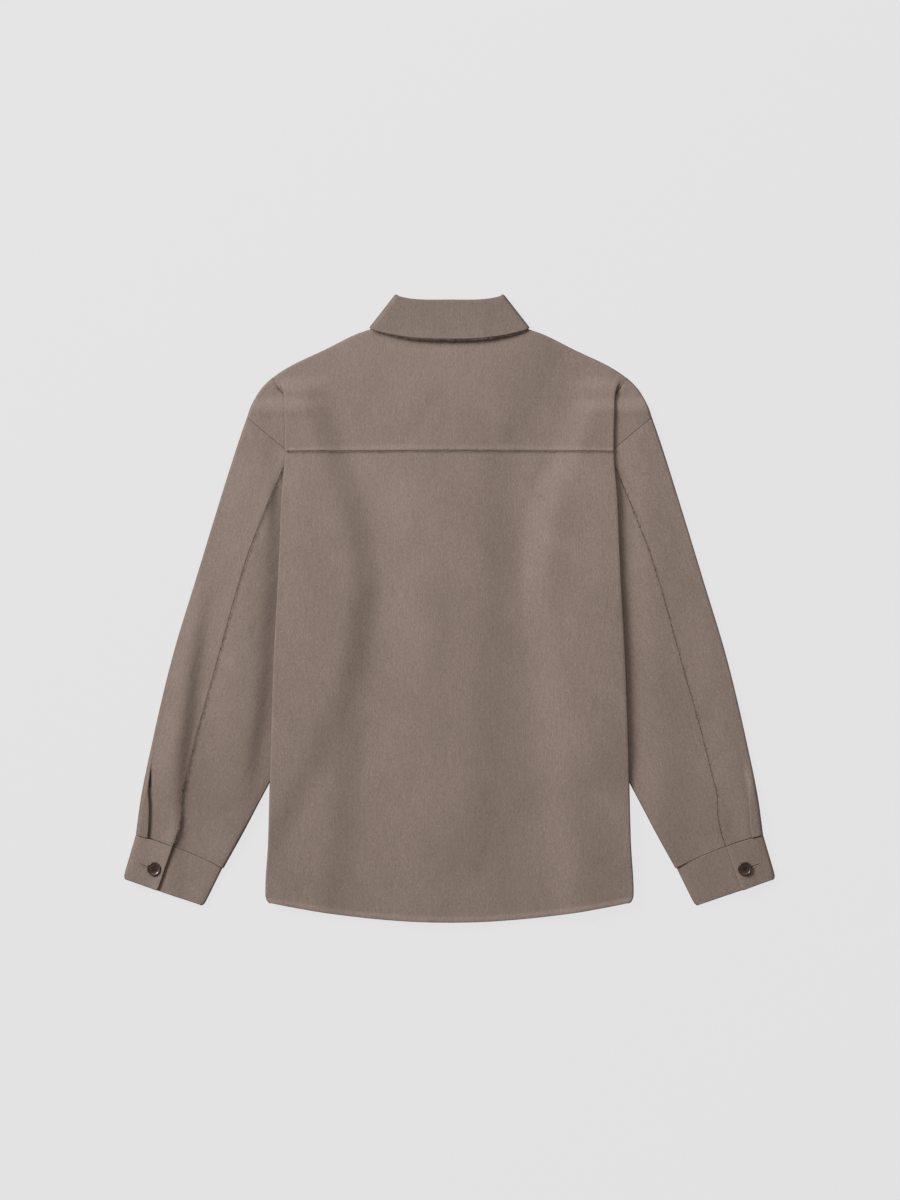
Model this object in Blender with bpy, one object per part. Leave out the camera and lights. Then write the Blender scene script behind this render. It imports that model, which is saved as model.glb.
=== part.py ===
# A wool shacket laid flat on its front, back up, as separate cut pieces.
# Tables and sizes are in millimetres. Meshes are made in metres.
# +X is to the right as the garment is seen from above, +Y towards the collar, +Z up.
# Every shape is worked out for the half with x above 0, and mirrored for the other half.

import math

import bmesh
import bpy
import numpy as np
from mathutils import Vector

MM = 0.001

# Cloth
CLOTH = 1.8            # thickness of the double-faced wool
DOUBLE = 2.4           # thickness of the collar leaf and the cuffs
GAP = 0.3              # left between pieces that touch
STEP = CLOTH + 0.5     # from one laid layer to the next
APART = STEP + 0.5     # from the front half to the back half
FLOOR = CLOTH / 2      # middle of a layer that lies on the surface
PLUMP = 1.0            # extra height along the outer edge of the arm
TURN_STEPS = 3         # straight bits in a half turn of the cloth
LEAF_STEPS = 4         # and in the roll of the collar

# Lengths and heights down the back
YOKE_SEAM_Y = 204.0
SEAM_DROP = 0.4        # the back panel starts this much below the yoke
ROLL_Y = 399.4
NECK_BACK_Y = 358.0
HEM_Y = -407.5
HEM_RISE = 4.88e-4     # the hem is a parabola: rise per x squared
FRONT_SHORTER = 3.0    # the fronts end this much above the back's hem
FRONT_NARROWER = 2.0   # and their side folds lie this much further in
FRONT_LEVEL_Y = 202.0
LEAF_EDGE_Y = 349.6

# Neck and shoulder
NECK_X = 85.0
NECK_STOPS = (0.0, 21.2, 42.5, 63.8, 85.0)
NECK_FRONT_STOPS = (0.0, 22.0, 42.5, 60.0, 73.6, 81.4)
NECK_TOP_Y = 367.2
NECK_FRONT_Y = 285.0
BAND = 20.0            # the button band reaches this far past the centre front

# Shoulder fold, seen from above: neck point to sleeve head
SHOULDER = {
    "x": (85.0, 104.0, 119.0, 160.0, 216.0, 233.4, 245.7, 253.5, 259.6, 262.8),
    "y": (369.6, 360.6, 356.2, 337.0, 310.2, 297.2, 284.2, 271.2, 258.0, 248.0)}

# Edge of the yoke where it meets the fronts
YOKE_FRONT = {
    "x": (81.4, 140.0, 205.3, 225.0, 236.5, 243.4),
    "y": (344.0, 317.6, 287.0, 268.0, 249.0, 231.8)}

# Outer edge of the arm, sleeve head to cuff seam
ARM_OUTER = {
    "y": (248.0, 219.0, 141.0, 37.0, -67.0, -171.0, -249.0, -295.9),
    "x": (262.8, 273.0, 297.7, 329.6, 360.8, 385.5, 401.1, 407.6)}

# Inner edge of the arm, armpit to cuff seam
ARM_INNER = {
    "y": (30.0, -60.0, -150.0, -228.0, -338.9),
    "x": (150.0, 166.0, 196.0, 234.5, 296.0)}

# Back seam of the sleeve, armhole to cuff seam
ARM_SEAM = {
    "y": (202.0, 189.0, 135.0, 64.0, -84.0, -171.0, -235.0, -268.0, -313.8),
    "x": (207.6, 213.0, 235.6, 263.0, 305.6, 330.0, 346.0, 349.5, 361.0)}

# Fold at the side of the body, from the shoulder to the hem
BODY_FOLD = {
    "y": (303.5, 296.0, 284.0, 271.0, 206.0, 141.0, 63.0,
          -67.0, -171.0, -301.0, -359.0, -371.0, -378.5, -382.0),
    "x": (224.5, 219.5, 216.0, 214.8, 213.5, 218.4, 221.4,
          228.8, 233.4, 236.6, 239.2, 239.0, 236.8, 233.0)}

# Armhole under the body, from the pleat's foot to the armpit
ARMHOLE_HIDDEN = {
    "x": (186.0, 174.0, 165.0, 157.0, 150.0),
    "y": (184.0, 160.0, 130.0, 85.0, 30.0)}

# Side seam under the body, armpit to hem
SIDE_SEAM = {
    "y": (30.0, -100.0, -240.0, -382.0),
    "x": (150.0, 162.0, 178.0, 192.0)}

# Shoulder pleat of the back and of the fronts: flat at its tip, folded right over from its
# closed height down to its foot on the armhole
PLEATS = {
    "back": {"tip_y": 303.5, "closed_y": 268.0, "top_y": YOKE_SEAM_Y, "narrower": 0.0},
    "front": {"tip_y": 277.0, "closed_y": 246.0, "top_y": FRONT_LEVEL_Y, "narrower": FRONT_NARROWER}}
PLEAT_FOOT = (188.1, 185.9)

# Cuff and its placket, seen from above
CUFF_BOTTOM_OUT = (423.8, -350.2)
CUFF_BOTTOM_IN = (319.3, -386.2)
PLACKET_FOOT = (378.5, -366.1)
CUFF_SAG = 3.3
CUFF_UNDERLAP = 26.0
CUFF_SPRING = 0.4
CUFF_BUTTON = (384.2, -338.9)
SLEEVE_PLEAT_IN = 15.5     # pleat line to the outer edge, at the cuff
SLEEVE_PLEAT_DEPTH = 6.0
SLEEVE_PLEAT = {"tip_y": -190.0, "closed_y": -262.0}

# Collar, seen from above
LEAF_CORNER = (69.8, 407.5)
LEAF_SIDE = (104.2, 363.3)
LEAF_POINT = (62.0, 262.0)
LEAF_FRONT = (3.0, 318.0)
LEAF_LIFT = 2.5
STAND_R = APART / 2 + 0.2
STAND_FRONT_SIDE = (80.7, 345.6)    # its neck edge, beside the shoulder fold and over it
STAND_SIDE = (82.2, 369.8)
STAND_BACK_SIDE = (83.0, 368.8)
LEAF_R = STAND_R + DOUBLE + 0.6
STACK_MID = DOUBLE / 2 + LEAF_R
FLAP_LIFT = STACK_MID - STAND_R - FLOOR
FLAP_AREA = ((0.0, 400.0), LEAF_CORNER, LEAF_SIDE, LEAF_POINT, (0.0, 320.8))

# Curves: how strongly each bows, as a power of the distance from the middle
NECK_POWER = 2.2
ROLL_POWER = 3.2
LEAF_EDGE_POWER = 2.3
YOKE_SEAM_BOW = 1.5    # rise of the yoke seam at the centre back
YOKE_SEAM_HALF = 213.0
SHOULDER_SLOPES = {"near neck": 0.474, "near sleeve": 0.72, "change_x": 195.0, "change_width": 20.0}
SHOULDER_TIP_DROP = {"from_x": 205.0, "width": 20.0, "drop": 0.4}
YOKE_TOP_FOLD_Y = 302.8
FRONT_TOP_BELOW_TIP = 1.5

# Ramps between heights: where each starts and the width it takes
FLAP_RAMP = {"end": 62.0, "width": 50.0}         # distance from the collar's flaps
ROW_RAMP = {"end": 90.0, "width": 78.0}          # x, beside the row of front buttons
ROW_TOP_RAMP = {"end": 342.0, "width": 30.0}     # y, above the row
ROW_FOOT_RAMP = {"start": -360.0, "width": 100.0}
BAND_RAMP = {"end": 100.0, "width": 70.0}        # x, beside the button band
BAND_TOP_RAMP = {"end": 352.0, "width": 30.0}
BAND_EDGE_RAMP = {"start": BAND + 2.0, "width": 26.0}
UNDER_RAMP = {"before": 64.0, "width": 46.0}     # before the hidden edge of a turned-in strip
ARM_RAMP = {"before": 66.0, "width": 46.0}
LOW_OFF_BODY = {"start": 12.0, "width": 60.0}    # out from the body's side fold
PLUMP_OFF_BODY = {"start": 8.0, "width": 30.0}
TOP_OFF_BODY = {"start": 28.0, "width": 66.0}
STRIP_TOP_RAMP = {"width": 60.0}                 # y, above the armpit
STRIP_HEM_RAMP = {"start": -330.0, "width": 52.0, "rise": 9.0}
STRIP_OWN_RAMP = {"start": -340.0, "width": 40.0}
PLACKET_RAMP = {"start": 0.85, "width": 0.15, "across": 22.0}      # shares of the sleeve, mm across it
SAG_RAMP = {"start": 0.7, "width": 0.3}
PLEAT_DEPTH_RAMP = {"start": -250.0, "width": 36.0}
LEAF_BACK_RAMP = {"start": 0.6, "width": 0.4}    # shares of the turn round the neck
STAND_BAND_RAMP = {"start": BAND, "width": 14.0}

# Small shapes
LEAST_SLANT = 0.3      # limit to how far a wall's corner is moved out at a sharp bend
LEAST_TURN = 0.06      # a pleat's turn at its tip, in radians
LEAST_DEPTH = 0.5      # and its depth there
CAP_CORNER = 0.55      # the cap's outer corner, as a share of its top edge
CAP_END_IN = 0.4
CAP_SEAM_WAY = (1.0, 1.3)
SIDE_TABLE_STEP = 0.01
ARMHOLE_POWER = 2.2    # how fast the armhole's curve dies out down the sleeve
CUFF_EDGE_SHARE = 0.42
CUFF_ROUND = 2.2       # rounding of the cuff's lower corners
CUFF_ROUND_FROM = 0.88
LEAF_LEAD = 3.0        # straight part of the leaf before its roll
STAND_END_DROP = 1.2
BAND_ENDS = (2.0, 8.0) # ends of the stand, in from the band's edge
BUTTON_PROFILE = {     # turned section, from the middle of one face to the middle of the other
    "in_from_rim": (9.0, 0.9, 0.0, 0.6, 1.9, 2.8, 9.0),
    "height": (0.0, 0.0, 1.1, 3.2, 3.2, 2.4, 2.4)}
SHARP_ANGLE = 50.0

# Buttons
BUTTON_R = 9.0
BUTTON_THICK = 3.2
BUTTON_SIDES = 16
FRONT_BUTTON_Y = (300.0, 243.0, 153.0, 63.0, -27.0, -117.0, -207.0)
BUTTON_LIFT = BUTTON_THICK + GAP

COLOURS = {
    "wool": (0.225, 0.175, 0.145, 1.0),
    "horn": (0.05, 0.03, 0.02, 1.0)}


def smooth(value):
    value = min(1.0, max(0.0, value))
    return value * value * (3 - 2 * value)


def curve_at(keys, values, value):
    # Smooth curve through points, with no overshoot between them.
    keys = np.asarray(keys, float)
    values = np.asarray(values, float)
    if keys[0] > keys[-1]:
        keys, values = keys[::-1], values[::-1]
    spans = np.diff(keys)
    slopes = np.diff(values) / spans
    tangents = np.zeros(len(keys))
    tangents[0], tangents[-1] = slopes[0], slopes[-1]
    for i in range(1, len(keys) - 1):
        if slopes[i - 1] * slopes[i] > 0:
            tangents[i] = 2 / (1 / slopes[i - 1] + 1 / slopes[i])
    value = min(keys[-1], max(keys[0], value))
    i = min(len(spans) - 1, int(np.searchsorted(keys, value, side="right")) - 1)
    t = (value - keys[i]) / spans[i]
    return float((2 * t**3 - 3 * t**2 + 1) * values[i] + (t**3 - 2 * t**2 + t) * spans[i] * tangents[i]
                 + (3 * t**2 - 2 * t**3) * values[i + 1] + (t**3 - t**2) * spans[i] * tangents[i + 1])


def along(table, key, value):
    other = "x" if key == "y" else "y"
    return curve_at(table[key], table[other], value)


def lengths_of(table):
    steps = np.hypot(np.diff(table["x"]), np.diff(table["y"]))
    return np.concatenate(([0.0], np.cumsum(steps)))


def trace(table, share):
    # Point at a share of the length of a table's curve.
    lengths = lengths_of(table)
    goal = share * lengths[-1]
    return np.array((curve_at(lengths, table["x"], goal), curve_at(lengths, table["y"], goal)))


def share_at_x(table, x):
    lengths = lengths_of(table)
    return float(np.interp(x, table["x"], lengths) / lengths[-1])


def mix(a, b, share):
    return np.asarray(a, float) * (1 - share) + np.asarray(b, float) * share


def unit(vector):
    vector = np.asarray(vector, float)
    return vector / np.linalg.norm(vector)


SLEEVE_HEAD = np.array((SHOULDER["x"][-1], SHOULDER["y"][-1]))
ARMHOLE_FOOT = np.array((ARMHOLE_HIDDEN["x"][0], ARMHOLE_HIDDEN["y"][0]))
ARMPIT = np.array((ARMHOLE_HIDDEN["x"][-1], ARMHOLE_HIDDEN["y"][-1]))
ARM_SEAM_HEAD = np.array((ARM_SEAM["x"][0], ARM_SEAM["y"][0]))
ARMHOLE_WAY = unit(SLEEVE_HEAD - ARMHOLE_FOOT)
ARMHOLE_DOWN = np.array((ARMHOLE_WAY[1], -ARMHOLE_WAY[0]))


def body_fold(y):
    return along(BODY_FOLD, "y", y)


def fold_axis(y, narrower=0.0):
    # Middle of the bend at the side fold.
    return body_fold(y) - narrower - CLOTH / 2 - STEP / 2


def hem_y(x):
    return HEM_Y + HEM_RISE * x * x


def yoke_seam_y(x):
    return YOKE_SEAM_Y + YOKE_SEAM_BOW * (1 - (x / YOKE_SEAM_HALF) ** 2)


def neck_back_y(x):
    return NECK_BACK_Y + (NECK_TOP_Y - NECK_BACK_Y) * (abs(x) / NECK_X) ** NECK_POWER


def neck_front_y(x):
    share = min(1.0, abs(x) / NECK_X)
    return NECK_TOP_Y - (NECK_TOP_Y - NECK_FRONT_Y) * math.sqrt(1 - share**2)


def turn_angle(pleat, y):
    # How far a pleat has turned over at this height.
    return math.pi * smooth((pleat["tip_y"] - y) / (pleat["tip_y"] - pleat["closed_y"]))


def turn_radius(angle):
    # The bend keeps its length of cloth while it opens.
    return (STEP / 2) * math.pi / angle


def pleat_rise(pleat, y):
    angle = turn_angle(pleat, y)
    return 2 * turn_radius(angle) * (1 - math.cos(angle)) if angle > 0.01 else 0.0


def pleat_foot(pleat, y_fold):
    # Inner fold of a shoulder pleat, for the row that meets the outer fold at this height.
    if y_fold >= pleat["closed_y"]:
        return np.array((fold_axis(y_fold, pleat["narrower"]), y_fold))
    share = max(0.0, (y_fold - pleat["top_y"]) / (pleat["closed_y"] - pleat["top_y"]))
    closed = (fold_axis(pleat["closed_y"], pleat["narrower"]), pleat["closed_y"])
    return mix(PLEAT_FOOT, closed, share)


def hidden_edge_x(y, below):
    # Inboard end of the layers at the side: the pleat's foot, the armhole, then a lower table.
    if y > ARMHOLE_FOOT[1]:
        share = min(1.0, (y - ARMHOLE_FOOT[1]) / (PLEATS["back"]["closed_y"] - ARMHOLE_FOOT[1]))
        return float(mix(ARMHOLE_FOOT, (body_fold(PLEATS["back"]["closed_y"]), 0.0), share)[0])
    return along(ARMHOLE_HIDDEN if y > ARMPIT[1] else below, "y", y)


def flap_distance(x, y):
    # Distance from a point to the area that the collar's front flaps raise, 0 inside it.
    point = np.array((abs(x), y))
    inside = True
    nearest = 1e9
    for i in range(len(FLAP_AREA)):
        a = np.array(FLAP_AREA[i])
        side = np.array(FLAP_AREA[(i + 1) % len(FLAP_AREA)]) - a
        offset = point - a
        if side[0] * offset[1] - side[1] * offset[0] > 0:
            inside = False
        share = min(1.0, max(0.0, float(offset @ side) / float(side @ side)))
        nearest = min(nearest, float(np.linalg.norm(offset - share * side)))
    return 0.0 if inside else nearest


def before(ramp, value):
    # 1 well before the ramp's end, 0 past it.
    return smooth((ramp["end"] - value) / ramp["width"])


def past(ramp, value):
    # 0 up to the ramp's start, 1 past its width.
    return smooth((value - ramp["start"]) / ramp["width"])


def lift(x, y):
    # How far the collar's flaps and the row of front buttons raise the cloth above them.
    flap = FLAP_LIFT * before(FLAP_RAMP, flap_distance(x, y))
    row = before(ROW_RAMP, abs(x)) * before(ROW_TOP_RAMP, y) * past(ROW_FOOT_RAMP, y)
    return max(flap, BUTTON_LIFT * row)


def band_rise(x, y):
    # Second layer of the button band, as the back feels it.
    return STEP * before(BAND_RAMP, abs(x)) * before(BAND_TOP_RAMP, y)


def under_rise(x, y):
    # Rise over the fronts' turned-in strips.
    start = abs(x) - hidden_edge_x(y, SIDE_SEAM) + UNDER_RAMP["before"]
    return pleat_rise(PLEATS["front"], y) * smooth(start / UNDER_RAMP["width"])


def arm_rise(x, y):
    # Rise over the arm and the back's own turned-in strip.
    start = abs(x) - hidden_edge_x(y, ARM_INNER) + ARM_RAMP["before"]
    return pleat_rise(PLEATS["back"], y) * smooth(start / ARM_RAMP["width"])


def near_body(ramp, x, y):
    return 1 - past(ramp, abs(x) - body_fold(y))


def arm_low_z(x, y):
    return FLOOR + lift(x, y) + pleat_rise(PLEATS["front"], y) * near_body(LOW_OFF_BODY, x, y)


def arm_top_z(x, y):
    fuller = PLUMP * (1 - near_body(PLUMP_OFF_BODY, x, y))
    front = pleat_rise(PLEATS["front"], y) * near_body(TOP_OFF_BODY, x, y)
    return FLOOR + lift(x, y) + APART + fuller + front


def back_z(x, y):
    return FLOOR + APART + lift(x, y) + band_rise(x, y) + under_rise(x, y) + arm_rise(x, y)


def front_z(x, y):
    return FLOOR + lift(x, y)


def wall(name, grids, thickness, colour, roughness=0.9):
    # A closed wall of even thickness about a sheet made of grids of points, in millimetres.
    # Points that coincide are joined, cells with a missing corner are left out, and every open
    # edge gets a side wall.
    sheet = bmesh.new()
    known = {}

    def vertex(point):
        key = tuple(round(float(value), 2) for value in point)
        if key not in known:
            known[key] = sheet.verts.new(point)
        return known[key]

    for grid in grids:
        for row, next_row in zip(grid, grid[1:]):
            for j in range(len(row) - 1):
                ring = (row[j], next_row[j], next_row[j + 1], row[j + 1])
                if any(point is None for point in ring):
                    continue
                ring = [vertex(point) for point in ring]
                first = (ring[0].co - ring[2].co).length < (ring[1].co - ring[3].co).length
                halves = ((0, 1, 2), (0, 2, 3)) if first else ((0, 1, 3), (1, 2, 3))
                for half in halves:
                    corners = [ring[k] for k in half]
                    if len(set(corners)) == 3:
                        sheet.faces.new(corners)
    bmesh.ops.recalc_face_normals(sheet, faces=sheet.faces)
    sheet.normal_update()
    sheet.verts.index_update()
    corners = []
    for side in (0.5, -0.5):
        for spot in sheet.verts:
            slants = [max(LEAST_SLANT, spot.normal.dot(face.normal)) for face in spot.link_faces]
            slant = sum(slants) / len(slants)
            corners.append(spot.co + spot.normal * (side * thickness / slant))
    below = len(sheet.verts)
    faces = []
    for face in sheet.faces:
        ids = [spot.index for spot in face.verts]
        faces.append(ids)
        faces.append([below + k for k in reversed(ids)])
    for edge in sheet.edges:
        if edge.is_boundary:
            loop = edge.link_loops[0]
            a, b = loop.vert.index, loop.link_loop_next.vert.index
            faces.append([b, a, below + a])
            faces.append([b, below + a, below + b])
    sheet.free()
    return solid(name, corners, faces, colour, roughness)


def solid(name, corners, faces, colour, roughness):
    mesh = bpy.data.meshes.new(name)
    mesh.from_pydata([tuple(Vector(corner) * MM) for corner in corners], [], faces)
    work = bmesh.new()
    work.from_mesh(mesh)
    bmesh.ops.recalc_face_normals(work, faces=work.faces)
    work.to_mesh(mesh)
    work.free()
    mesh.shade_smooth()
    mesh.set_sharp_from_angle(angle=math.radians(SHARP_ANGLE))
    piece = bpy.data.objects.new(name, mesh)
    bpy.context.scene.collection.objects.link(piece)
    material = bpy.data.materials.new(name + "_finish")
    material.use_nodes = True
    shader = material.node_tree.nodes["Principled BSDF"]
    shader.inputs["Base Color"].default_value = colour
    shader.inputs["Roughness"].default_value = roughness
    shader.inputs["Metallic"].default_value = 0.0
    mesh.materials.append(material)
    return piece


def mirrored(grid):
    return [[None if point is None else (-point[0], point[1], point[2]) for point in row] for row in grid]


def both_halves(grids):
    return grids + [mirrored(grid) for grid in grids]


def bend(start, way, radius, sign):
    # Half turn in the upright plane through a plan direction. Sign -1 turns down, 1 turns up.
    points = []
    for k in range(1, TURN_STEPS + 1):
        angle = math.pi * k / TURN_STEPS
        points.append((start[0] + way[0] * radius * math.sin(angle),
                       start[1] + way[1] * radius * math.sin(angle),
                       start[2] + sign * radius * (1 - math.cos(angle))))
    return points


def z_fold(angle, depth):
    # Section of a pleat as (distance, height): a bend, a straight part back, a bend the other way.
    radius = turn_radius(angle)
    path = []
    for k in range(1, TURN_STEPS + 1):
        turned = angle * k / TURN_STEPS
        path.append((radius * math.sin(turned), radius * (1 - math.cos(turned))))
    distance, height = path[-1]
    for share in (0.5, 1.0):
        path.append((distance + depth * share * math.cos(angle), height + depth * share * math.sin(angle)))
    distance, height = path[-1]
    for k in range(1, TURN_STEPS + 1):
        left = angle * (1 - k / TURN_STEPS)
        path.append((distance + radius * (math.sin(angle) - math.sin(left)),
                     height + radius * (math.cos(left) - math.cos(angle))))
    return path


def pleat_path(pleat, y_fold, z_start, sign, z_end):
    # The fold at the body's side, the strip turned in, and the fold that brings it out again.
    angle = max(LEAST_TURN, turn_angle(pleat, y_fold))
    axis = fold_axis(y_fold, pleat["narrower"])
    foot = pleat_foot(pleat, y_fold)
    depth = max(LEAST_DEPTH, axis - foot[0])
    section = z_fold(angle, depth)
    scale = abs(z_end - z_start) / section[-1][1]
    points = []
    for distance, height in section:
        inward = min(1.0, max(0.0, -distance / depth))
        y = y_fold + (foot[1] - y_fold) * inward
        if distance > 0:
            y -= (yoke_top_y(axis) - yoke_top_y(axis + distance)) * (1 - angle / math.pi)
        points.append((axis + distance, y, z_start + sign * height * scale))
    return points


SIDE_SHARES = (0.3, 0.58, 0.8, 0.9, 1.0)
YOKE_SIDE_SHARES = (0.14, 0.27, 0.54, 0.8, 0.9, 1.0)
CAP_SHARES = (0.0, 0.22, 0.45, 0.64, 0.82, 1.0)


def cap_patch(lefts, rows, table, inset, first_share, corner, last, height):
    # The cloth between the pleat's foot and the armhole, fitted inside its four edges.
    corner_share = first_share + (1 - first_share) * CAP_CORNER

    def edge(share):
        return inset(trace(table, share), share)

    patch = []
    for left, v in zip(lefts, rows):
        right = mix(last, edge(corner_share), v) if v in (0.0, 1.0) else edge(1 + (corner_share - 1) * v)
        row = [tuple(left)]
        for u in CAP_SHARES[1:]:
            bottom = mix(corner, last, u)
            top = edge(first_share + (corner_share - first_share) * u)
            flat = mix(mix(corner, last, u), mix(lefts[-1][:2], edge(corner_share), u), v)
            point = mix(bottom, top, v) + mix(left[:2], right, u) - flat
            if v == 1.0:
                point = top
            row.append((point[0], point[1], height(point[0], point[1])))
        patch.append(row)
    return patch


def outline_inset(point, share):
    ahead = trace(SHOULDER, min(1.0, share + SIDE_TABLE_STEP))
    behind = trace(SHOULDER, max(0.0, share - SIDE_TABLE_STEP))
    way = unit(ahead - behind)
    outward = np.array((-way[1], way[0]))
    radius = (arm_top_z(*point) - arm_low_z(*point)) / 2
    return np.asarray(point) - outward * (radius + CLOTH / 2)


def front_inset(point, share):
    return np.asarray(point) - unit(CAP_SEAM_WAY) * SEAM_DROP


def yoke_top_y(x):
    # Top of the yoke's mid surface as laid: neck edge, then just inside the shoulder fold.
    if x <= NECK_X:
        return neck_back_y(x)
    inset = APART / 2 + CLOTH / 2
    share = smooth((x - SHOULDER_SLOPES["change_x"]) / SHOULDER_SLOPES["change_width"])
    slope = SHOULDER_SLOPES["near neck"] * (1 - share) + SHOULDER_SLOPES["near sleeve"] * share
    drop = SHOULDER_TIP_DROP["drop"] * smooth((x - SHOULDER_TIP_DROP["from_x"]) / SHOULDER_TIP_DROP["width"])
    return along(SHOULDER, "x", x) - inset * math.hypot(1, slope) - drop


YOKE_ROWS = (0.0, 0.2, 0.4, 0.56, 0.68, 0.76, 0.83, 0.89, 0.95, 1.0)


def back_yoke():
    pleat = PLEATS["back"]
    mains, lefts, paths = [], [], []
    for v in YOKE_ROWS:
        y_fold = YOKE_SEAM_Y + (YOKE_TOP_FOLD_Y - YOKE_SEAM_Y) * v
        axis = fold_axis(y_fold)
        row = []
        stops = list(NECK_STOPS) + [NECK_X + (axis - NECK_X) * share for share in YOKE_SIDE_SHARES]
        for x in stops:
            y = yoke_seam_y(x) * (1 - v) + yoke_top_y(x) * v
            if x > NECK_X:
                off_fold = y_fold - yoke_seam_y(axis) * (1 - v) - yoke_top_y(axis) * v
                y += off_fold * ((x - NECK_X) / (axis - NECK_X)) ** 2
            row.append((x, y, back_z(x, y)))
        z_cap = arm_top_z(axis, y_fold)
        path = pleat_path(pleat, y_fold, row[-1][2], -1, z_cap)
        mains.append(row)
        paths.append([row[-1]] + path)
        lefts.append(path[-1])
    first_share = share_at_x(SHOULDER, lefts[-1][0])
    last = SLEEVE_HEAD - ARMHOLE_WAY * (APART / 2 + PLUMP / 2 + CLOTH / 2 + CAP_END_IN)
    cap = cap_patch(lefts, YOKE_ROWS, SHOULDER, outline_inset, first_share,
                    np.array(PLEAT_FOOT), last, arm_top_z)
    start = len(NECK_STOPS) - 1
    edge = mains[-1][start:] + paths[-1][1:] + cap[-1][1:] + [row[-1] for row in reversed(cap[:-1])]
    wrap = yoke_wrap(edge)
    return wall("back_yoke", both_halves([mains, paths, cap, wrap]), CLOTH, COLOURS["wool"])


WRAP_SHARES = (0.35, 0.7, 1.0)


def yoke_wrap(edge):
    # Over the shoulder and down the front to the seam with the fronts.
    plan = [np.array(point[:2]) for point in edge]
    lengths = np.concatenate(([0.0], np.cumsum([np.linalg.norm(b - a) for a, b in zip(plan, plan[1:])])))
    columns = []
    for j, point in enumerate(edge):
        ahead = plan[min(j + 1, len(plan) - 1)]
        behind = plan[max(j - 1, 0)]
        way = unit(ahead - behind)
        outward = np.array((-way[1], way[0]))
        if j == len(edge) - 1:
            outward = ARMHOLE_WAY
        goal = trace(YOKE_FRONT, lengths[j] / lengths[-1])
        z_low = arm_low_z(point[0], point[1])
        turn = bend(point, outward, (point[2] - z_low) / 2, -1)
        flat = []
        for share in WRAP_SHARES:
            spot = mix(plan[j], goal, share)
            flat.append((spot[0], spot[1], arm_low_z(spot[0], spot[1])))
        columns.append([point] + turn + flat)
    return [list(row) for row in zip(*columns)]


def strip_foot(y_fold, top_y):
    # Where a turned-in strip ends: at the armhole, then at the side seam.
    if y_fold > ARMPIT[1]:
        y = ARMPIT[1] + (y_fold - ARMPIT[1]) * (PLEAT_FOOT[1] - ARMPIT[1]) / (top_y - ARMPIT[1])
        near = smooth((y_fold - ARMPIT[1]) / STRIP_TOP_RAMP["width"])
        x = along(ARMHOLE_HIDDEN, "y", min(y, ARMHOLE_FOOT[1])) + (PLEAT_FOOT[0] - ARMHOLE_FOOT[0]) * near
        return np.array((x, y))
    near_hem = smooth((STRIP_HEM_RAMP["start"] - y_fold) / STRIP_HEM_RAMP["width"])
    return np.array((along(SIDE_SEAM, "y", y_fold), y_fold + STRIP_HEM_RAMP["rise"] * near_hem))


PANEL_ROWS = (0.0, 0.06, 0.13, 0.2, 0.26, 0.32, 0.4, 0.48, 0.55, 0.61, 0.66, 0.7, 0.74, 0.78,
              0.83, 0.89, 0.95, 0.981, 0.9935, 1.0)
PANEL_SHARES = (0.0, 0.14, 0.28, 0.42, 0.56, 0.7, 0.86)
STRIP_SHARES = (0.0, 0.5, 1.0)


def back_panel():
    hem_fold_y = BODY_FOLD["y"][-1]
    top = YOKE_SEAM_Y - SEAM_DROP
    grid = []
    for v in PANEL_ROWS:
        y_fold = top * (1 - v) + hem_fold_y * v
        axis = fold_axis(y_fold)
        foot = strip_foot(y_fold, top)
        if v == 0:
            foot = np.array(PLEAT_FOOT) - (0.0, SEAM_DROP)
        row = []

        def level(x):
            return (yoke_seam_y(x) - SEAM_DROP) * (1 - v) + hem_y(min(x, axis)) * v

        fold_shift = y_fold - level(axis)
        for x in [share * foot[0] for share in PANEL_SHARES]:
            row.append((x, level(x), back_z(x, level(x))))
        for share in STRIP_SHARES:
            x = foot[0] + (axis - foot[0]) * share
            y = level(x) + fold_shift * share
            row.append((x, y, back_z(x, y)))
        row += bend(row[-1], (1, 0), STEP / 2, -1)
        near_armhole = smooth(y_fold / STRIP_TOP_RAMP["width"])
        near_hem = smooth((STRIP_OWN_RAMP["start"] - y_fold) / STRIP_OWN_RAMP["width"])
        own = max(near_armhole, near_hem)
        foot_shift = (foot[1] - level(foot[0])) * own
        for share in STRIP_SHARES[1:]:
            x = axis + (foot[0] - axis) * share
            y = level(x) + fold_shift * (1 - share) + foot_shift * share
            row.append((x, y, back_z(x, y) - STEP))
        grid.append(row)
    return wall("back_panel", both_halves([grid]), CLOTH, COLOURS["wool"])


FRONT_ROWS = (0.0, 0.0065, 0.019, 0.05, 0.13, 0.25, 0.38, 0.5, 0.61, 0.7, 0.78, 0.86, 0.93)
FRONT_UPPER_ROWS = (0.0, 0.3, 0.58, 0.7, 0.79, 0.87, 0.94, 1.0)
FRONT_NEAR = (-20.0, -12.0, 0.0, 12.0, 22.0, 42.5, 60.0, 73.6, 81.4)


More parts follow.
